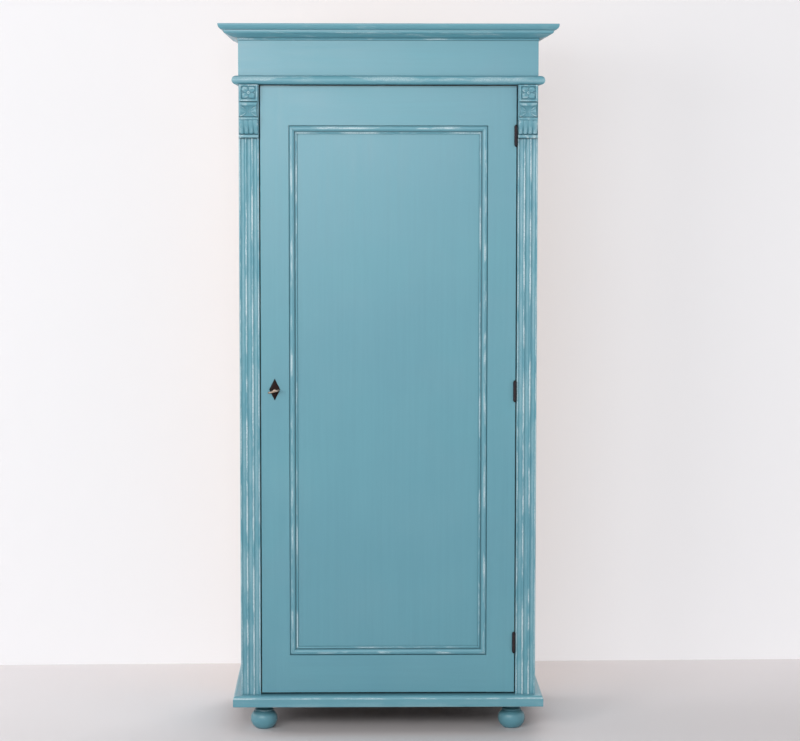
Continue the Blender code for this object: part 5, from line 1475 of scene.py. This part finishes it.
def circle_on(middle, first, second, radius, steps):
    """Points round middle, in the plane of the two directions."""
    points = []
    for i in range(steps):
        angle = 2 * math.pi * i / steps
        points.append(middle + (first * math.cos(angle) + second * math.sin(angle)) * radius)
    return points


def screw_head(middle, normal, radius, slot_degrees, proud=0.25 * MM):
    """Two half-moons and the floor of the slot. proud is how far the head stands out."""
    first, second, out = frame_on(normal)
    angle = math.radians(slot_degrees)
    along = first * math.cos(angle) + second * math.sin(angle)
    across = second * math.cos(angle) - first * math.sin(angle)
    middle = Vector(middle)
    slot = radius * 0.14
    parts = []
    for side in (-1, 1):
        rings = []
        for shrink, height in ((1.0, -0.6 * MM), (1.0, proud * 0.3), (0.93, proud * 0.8), (0.80, proud)):
            ring = []
            limit = math.acos(min(1, slot / (radius * shrink)))
            for i in range(13):
                turn_by = -limit + 2 * limit * i / 12
                way = across * side * math.cos(turn_by) + along * math.sin(turn_by)
                ring.append(middle + way * radius * shrink + out * height)
            rings.append(ring)
        parts.append(skin(rings))
    ground = []
    for height in (-0.8 * MM, proud - 0.55 * MM):
        ground.append(circle_on(middle + out * height, along, across, radius * 0.97, 24))
    parts.append(skin(ground))
    return merged(parts)


def nail_head(middle, normal, radius, proud):
    first, second, out = frame_on(normal)
    middle = Vector(middle)
    rings = []
    for shrink, height in ((1.0, -0.5 * MM), (1.0, proud * 0.4), (0.85, proud * 0.8), (0.45, proud)):
        rings.append(circle_on(middle + out * height, first, second, radius * shrink, 16))
    return skin(rings)


print("fixings ready")

# %% [markdown]
# ## Hinges
# Three butt hinges hang the door. Each leaf is a thin plate whose end is rolled into knuckles, and
# a pin with turned tips goes through them. The plates are drawn as outlines with room for the other
# leaf's knuckles, and the screws sit in their faces, where they show once the door is open.

# %% Hinge leaves, knuckles and pins
pin_middle = (low_of("hinge_top_pin") + high_of("hinge_top_pin")) / 2
HINGE_X, HINGE_Y = pin_middle.x, pin_middle.y
LEAF = 1.6 * MM
BARREL = 4.7 * MM
PIN = 2.5 * MM
BARREL_HALF = 26 * MM
KNUCKLE = (2 * BARREL_HALF - 2 * GAP) / 3
KNUCKLES = []
for number in range(3):
    foot = -BARREL_HALF + number * (KNUCKLE + GAP)
    KNUCKLES.append((foot, foot + KNUCKLE))
HINGE_SCREW = 3.0 * MM
SCREW_PLACES = ((11.5 * MM, 18.0 * MM), (16.0 * MM, 0.0), (11.5 * MM, -18.0 * MM))


def knuckle(level, low, high):
    """One barrel on the axis of the hinge, between two heights about its level."""
    ease = 0.5 * MM
    section = [(0, low), (PIN, low), (BARREL - ease, low), (BARREL, low + ease)]
    section += [(BARREL, high - ease), (BARREL - ease, high), (PIN, high), (0, high)]
    return lathe([(radius, z + level) for radius, z in section], (HINGE_X, HINGE_Y), 36)


def leaf_plate(level, x_low, x_high, near, far, notches):
    """A plate in the plane of Y and Z, with notches (low, high) cut from its near edge."""
    reach = HINGE_Y + BARREL + 0.6 * MM
    corner = 1.6 * MM
    near_end = BARREL_HALF - 1 * MM
    corners = [(far, level - BARREL_HALF, corner, 0, 0), (far, level + BARREL_HALF, corner, 0, 0)]
    edge = [(near, BARREL_HALF)]
    for low, high in sorted(notches, reverse=True):
        if high > near_end:
            edge = [(reach, BARREL_HALF), (reach, low - GAP), (near, low - GAP)]
        elif low < -near_end:
            edge += [(near, high + GAP), (reach, high + GAP), (reach, -BARREL_HALF)]
        else:
            edge += [(near, high + GAP), (reach, high + GAP), (reach, low - GAP), (near, low - GAP)]
    if edge[-1][1] > -near_end:
        edge.append((near, -BARREL_HALF))
    corners += [(y, level + z, 0, 0, 0) for y, z in edge]
    outline = eased(corners, 4)
    rings = [[(x, y, z) for y, z, _, _ in outline] for x in (x_low, x_high)]
    return skin(rings)


def pin_section(level):
    """(radius, height) of the pin and its two turned tips."""
    half = BARREL_HALF + GAP
    tip = [(2.3, 0), (3.9, 0), (4.3, 0.5), (4.2, 1.0), (3.3, 1.4), (2.9, 1.9)]
    tip += [(3.0, 2.5), (2.6, 3.2), (1.6, 3.8), (0, 4.0)]
    upper = [(r * MM, half + z * MM) for r, z in tip]
    lower = [(r, -z) for r, z in reversed(upper)]
    return [(r, z + level) for r, z in lower + upper]


frame_screws = []
door_screws = []
leaf_end = high_of("hinge_top_frame_leaf").y
frame_outer = high_of("hinge_top_frame_leaf").x
door_outer = high_of("door_stile_hinge").x
door_near = HINGE_Y + 3.65 * MM
low_knuckle, middle_knuckle, high_knuckle = KNUCKLES
for word in ("top", "middle", "bottom"):
    hinge = "hinge_" + word
    level = (low_of(hinge + "_pin").z + high_of(hinge + "_pin").z) / 2
    plate = leaf_plate(level, frame_outer - LEAF, frame_outer, HINGE_Y, leaf_end, [middle_knuckle])
    points, faces = merged([plate, knuckle(level, *low_knuckle), knuckle(level, *high_knuckle)])
    name, node = hinge + "_frame_half", hinge + "_frame_leaf"
    finish_piece(name, points, faces, hinge_iron, "carcass", "hinge_iron", (node,))
    notches = [low_knuckle, high_knuckle]
    plate = leaf_plate(level, door_outer - LEAF, door_outer, door_near, leaf_end, notches)
    points, faces = merged([plate, knuckle(level, *middle_knuckle)])
    name, node = hinge + "_door_half", hinge + "_door_leaf"
    finish_piece(name, points, faces, hinge_iron, "door", "hinge_iron", (node,))
    points, faces = lathe(pin_section(level), (HINGE_X, HINGE_Y), 32)
    name, node = hinge + "_pin_tipped", hinge + "_pin"
    finish_piece(name, points, faces, hinge_iron, "carcass", "hinge_iron", (node,), smooth=40)
    for number, (deep, rise) in enumerate(SCREW_PLACES):
        y, z = HINGE_Y + deep, level + rise
        on_frame = screw_head((frame_outer - LEAF, y, z), (-1, 0, 0), HINGE_SCREW, 35 + 50 * number)
        frame_screws.append(on_frame)
        on_door = screw_head((door_outer, y, z), (1, 0, 0), HINGE_SCREW, 80 - 40 * number)
        door_screws.append(on_door)
points, faces = merged(frame_screws)
finish_piece("hinge_screws_on_frame", points, faces, hinge_iron, "carcass", "hinge_iron")
points, faces = merged(door_screws)
finish_piece("hinge_screws_on_door", points, faces, hinge_iron, "door", "hinge_iron")
print("hinge screws", len(frame_screws) + len(door_screws))

# %% [markdown]
# ## Key
# A pipe key: a turned shank with a collar and a ball, an oval ring to hold it by, and the bit that
# moves the bolt. It rests tilted by thirteen degrees, so everything is made upright about the
# origin first and then laid into the lock.

# %% Key
plate_low, plate_high = low_of("key_plate"), high_of("key_plate")
plate_middle = (plate_low + plate_high) / 2
KEY_X = plate_middle.x
KEY_Z = plate_middle.z - 2.3 * MM
KEY_TILT = math.radians(13.0)
KEY_DROOP = (0.085, 0.02)
KEY_REAR = high_of("key").y
RING_BAR = 2.2 * MM
RING_HALF_WIDTH = 17 * MM - RING_BAR
RING_HALF_LENGTH = 13 * MM - RING_BAR
BIT_HALF = 1.1 * MM


def round_bar(centres, outwards, radius, sides):
    """A closed round bar along centres, with outwards the direction in the plane of the ring."""
    rings = []
    for centre, outward in zip(centres, outwards):
        rings.append(circle_on(centre, outward, Vector((0, 0, 1)), radius, sides))
    rings.append(rings[0])
    points, faces = skin(rings, caps=False)
    count = len(points) - sides
    faces = [tuple(i % count for i in face) for face in faces]
    return points[:count], faces


def key_shape():
    """The key with its axis along Y and its ring and bit flat in X and Y, in place along Y. It
    droops a little to the left in its worn lock."""
    collar_rear = plate_low.y - GAP
    collar = collar_rear - 3 * MM
    shank_front = collar - 9 * MM
    turned = (
        (KEY_REAR, ((0, -0.2), (1.9, -0.2), (2.0, 0), (2.8, 0), (3.0, -0.3))),
        (collar_rear, ((3.0, 0), (3.6, 0), (4.0, -0.5), (4.0, -1.0), (3.5, -1.5), (4.0, -2.0))),
        (collar, ((4.0, 0.5), (3.6, 0), (2.9, -0.4), (2.7, -3.0))),
        (shank_front, ((2.8, 3.0), (3.3, 1.8), (3.7, 0.6), (3.6, -0.8))),
        (shank_front, ((3.1, -2.2), (2.2, -3.0), (0, -3.2))),
    )
    shank = [(radius * MM, level + rise * MM) for level, marks in turned for radius, rise in marks]
    points, faces = lathe(shank, (0, 0), 32)
    lying = ([(x, z, -y) for x, y, z in points], faces)
    middle = shank_front - RING_HALF_LENGTH
    centres = []
    outwards = []
    for i in range(56):
        angle = 2 * math.pi * i / 56
        c, s = math.cos(angle), math.sin(angle)
        centres.append(Vector((RING_HALF_WIDTH * c, middle + RING_HALF_LENGTH * s, 0)))
        outwards.append(Vector((RING_HALF_LENGTH * c, RING_HALF_WIDTH * s, 0)).normalized())
    ring = round_bar(centres, outwards, RING_BAR, 14)
    low_y, high_y = KEY_REAR - 6.3 * MM, KEY_REAR - GAP
    bit_outline = [(1.0, low_y), (8.5, low_y), (8.5, low_y + 2.2 * MM), (6.6, low_y + 2.2 * MM)]
    bit_outline += [(6.6, low_y + 3.4 * MM), (8.5, low_y + 3.4 * MM), (8.5, high_y), (1.0, high_y)]
    bit_rings = []
    for z in (-BIT_HALF, BIT_HALF):
        bit_rings.append([(x * MM, y, z) for x, y in bit_outline])
    points, faces = merged([lying, ring, skin(bit_rings)])
    drooped = []
    for x, y, z in points:
        before_plate = max(collar_rear - y, 0)
        drooped.append((x - KEY_DROOP[0] * before_plate, y, z - KEY_DROOP[1] * before_plate))
    return drooped, faces


points, faces = key_shape()
lay = Matrix.Translation((KEY_X, 0, KEY_Z)) @ Matrix.Rotation(-KEY_TILT, 4, "Y")
points = [lay @ Vector(p) for p in points]
finish_piece("key_turned", points, faces, key_brass, "key", "key_brass", ("key",), smooth=40)
print("key solid reaches", round(low_of("key").y, 4), "made", round(min(p.y for p in points), 4))

# %% [markdown]
# ## Small metal on the lock, the strike plate and the back
# Two pins hold the lozenge, four screws the lock case and two the strike plate. The back boards are
# nailed along their edges and at both ends, and once more into the hat shelf.

# %% Pins, screws and nails in place
pins = []
for z in (plate_high.z - 7.5 * MM, plate_low.z + 7.5 * MM):
    pins.append(nail_head((KEY_X, plate_high.y - 1.9 * MM, z), (0, -1, 0), 1.3 * MM, 0.7 * MM))
points, faces = merged(pins)
finish_piece("key_plate_pins", points, faces, plate_bronze, "door", "plate_bronze")

LOCK_SCREW = 3.2 * MM
SCREW_PROUD = 0.4 * MM
CASE_INSET = 6 * MM
case_low, case_high = low_of("lock_case"), high_of("lock_case")
case_screws = []
for x in (case_low.x + CASE_INSET, case_high.x - CASE_INSET):
    for z in (case_low.z + CASE_INSET, case_high.z - CASE_INSET):
        turned_to = 20 + 1000 * (x + z) % 140
        place = (x, case_high.y, z)
        case_screws.append(screw_head(place, (0, 1, 0), LOCK_SCREW, turned_to, SCREW_PROUD))
points, faces = merged(case_screws)
finish_piece("lock_case_screws", points, faces, lock_iron, "door", "lock_iron")

strike_low, strike_high = low_of("strike_plate"), high_of("strike_plate")
strike_x = (strike_low.x + strike_high.x) / 2
strike_screws = []
for z in (strike_low.z + 8 * MM, strike_high.z - 8 * MM):
    place = (strike_x, strike_high.y, z)
    strike_screws.append(screw_head(place, (0, 1, 0), LOCK_SCREW, 15 + z * 90, SCREW_PROUD))
points, faces = merged(strike_screws)
finish_piece("strike_plate_screws", points, faces, lock_iron, "carcass", "lock_iron")

NAIL = 2.6 * MM
NAIL_PROUD = 0.3 * MM
NAIL_INSET = 12 * MM
SHELF_NAILS = 1.509
SIDE_NAILS = 11
LOWEST_SIDE_NAIL = 0.22
NAIL_PITCH = 0.145
nails = []
for number in range(1, 6):
    node = "back_board_" + str(number)
    low, high = low_of(node), high_of(node)
    without_tongue = (high.x - low.x) * 0.97
    for share in (0.22, 0.78):
        x = low.x + without_tongue * share
        for z in (low.z + NAIL_INSET, high.z - NAIL_INSET, SHELF_NAILS):
            nails.append(nail_head((x, BACK, z), (0, 1, 0), NAIL, NAIL_PROUD))
for side in (-1, 1):
    x = side * (SIDE_INNER + 4.5 * MM)
    for i in range(SIDE_NAILS):
        z = LOWEST_SIDE_NAIL + NAIL_PITCH * i
        nails.append(nail_head((x, BACK, z), (0, 1, 0), NAIL, NAIL_PROUD))
points, faces = merged(nails)
finish_piece("back_nails", points, faces, lock_iron, "carcass", "lock_iron")
print("nails", len(nails))

# %% [markdown]
# ## Clothes rail
# A plain turned rod that rests in two open sockets under the hat shelf. A cylinder would do, but
# rings of points let its ends be eased and its middle be a shade thinner, as hand turning leaves it.

# %% Clothes rail
rail_low, rail_high = low_of("clothes_rail"), high_of("clothes_rail")
rail_middle = (rail_low + rail_high) / 2
RAIL_RADIUS = (rail_high.z - rail_low.z) / 2
rail_marks = [(rail_low.x, 0.93), (rail_low.x + 1 * MM, 1.0), (-0.12, 0.997)]
rail_marks += [(0.14, 0.996), (rail_high.x - 1 * MM, 1.0), (rail_high.x, 0.93)]
rings = []
for x, shrink in rail_marks:
    centre = Vector((x, rail_middle.y, rail_middle.z))
    rings.append(circle_on(centre, Vector((0, 1, 0)), Vector((0, 0, 1)), RAIL_RADIUS * shrink, 40))
points, faces = skin(rings)
node = "clothes_rail"
finish_piece("rail_round", points, faces, rail_wood, "carcass", "rail_wood", (node,), smooth=40)
print("rail radius", round(RAIL_RADIUS / MM, 1), "mm")

# %% [markdown]
# ## Finishes on the flat boards
# The other boards are right as solids. They get their paint or wood, and a weld and a bevel
# modifier ease their arrises, because a planed board never ends in a perfect corner.

# %% Dress the solids
PINE_EASE = 0.6
PAINT_EASE = 0.3
LEFT_SHARP = ("bolt_spring", "door_stile_lock", "door_stile_hinge")
EASE = {
    "side_left": 1.0,
    "side_right": 1.0,
    "frieze_front": 1.0,
    "frieze_left": 0.8,
    "frieze_right": 0.8,
    "key_plate": 0.25,
    "lock_case": 0.5,
}
FINISH = {
    "side_left": side_paint,
    "side_right": side_paint,
    "frieze_front": crown_paint,
    "frieze_left": crown_side_paint,
    "frieze_right": crown_side_paint,
    "door_stile_hinge": door_stile_paint,
    "door_stile_lock": door_stile_paint,
    "door_panel": panel_paint,
    "door_stop_top": pine_gap_shaded,
    "door_stop_bottom": pine_gap_shaded,
    "frieze_rear": pine_level,
    "glue_block_left": pine_upright,
    "glue_block_right": pine_upright,
    "hat_shelf": pine_level,
    "shelf_batten_left": pine_fore_and_aft,
    "shelf_batten_right": pine_fore_and_aft,
    "rail_socket_left": pine_upright,
    "rail_socket_right": pine_upright,
    "lock_case": lock_iron,
    "strike_plate": lock_iron,
    "lock_bolt": lock_steel,
    "bolt_spring": lock_steel,
    "key_plate": plate_bronze,
}
for number in range(1, 6):
    FINISH["back_board_" + str(number)] = pine_upright
for node, material in FINISH.items():
    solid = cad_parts[node]
    for place in solid.material_slots:
        place.material = material
    if node in LEFT_SHARP:
        continue
    usual = PINE_EASE if "pine" in material.name else PAINT_EASE
    weld = solid.modifiers.new("weld", "WELD")
    weld.merge_threshold = 0.02 * MM
    bevel = solid.modifiers.new("ease", "BEVEL")
    bevel.width = EASE.get(node, usual) * MM
    bevel.segments = 2
    bevel.limit_method = "ANGLE"
    bevel.angle_limit = math.radians(40)
print("dressed", len(FINISH), "of", len(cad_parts))
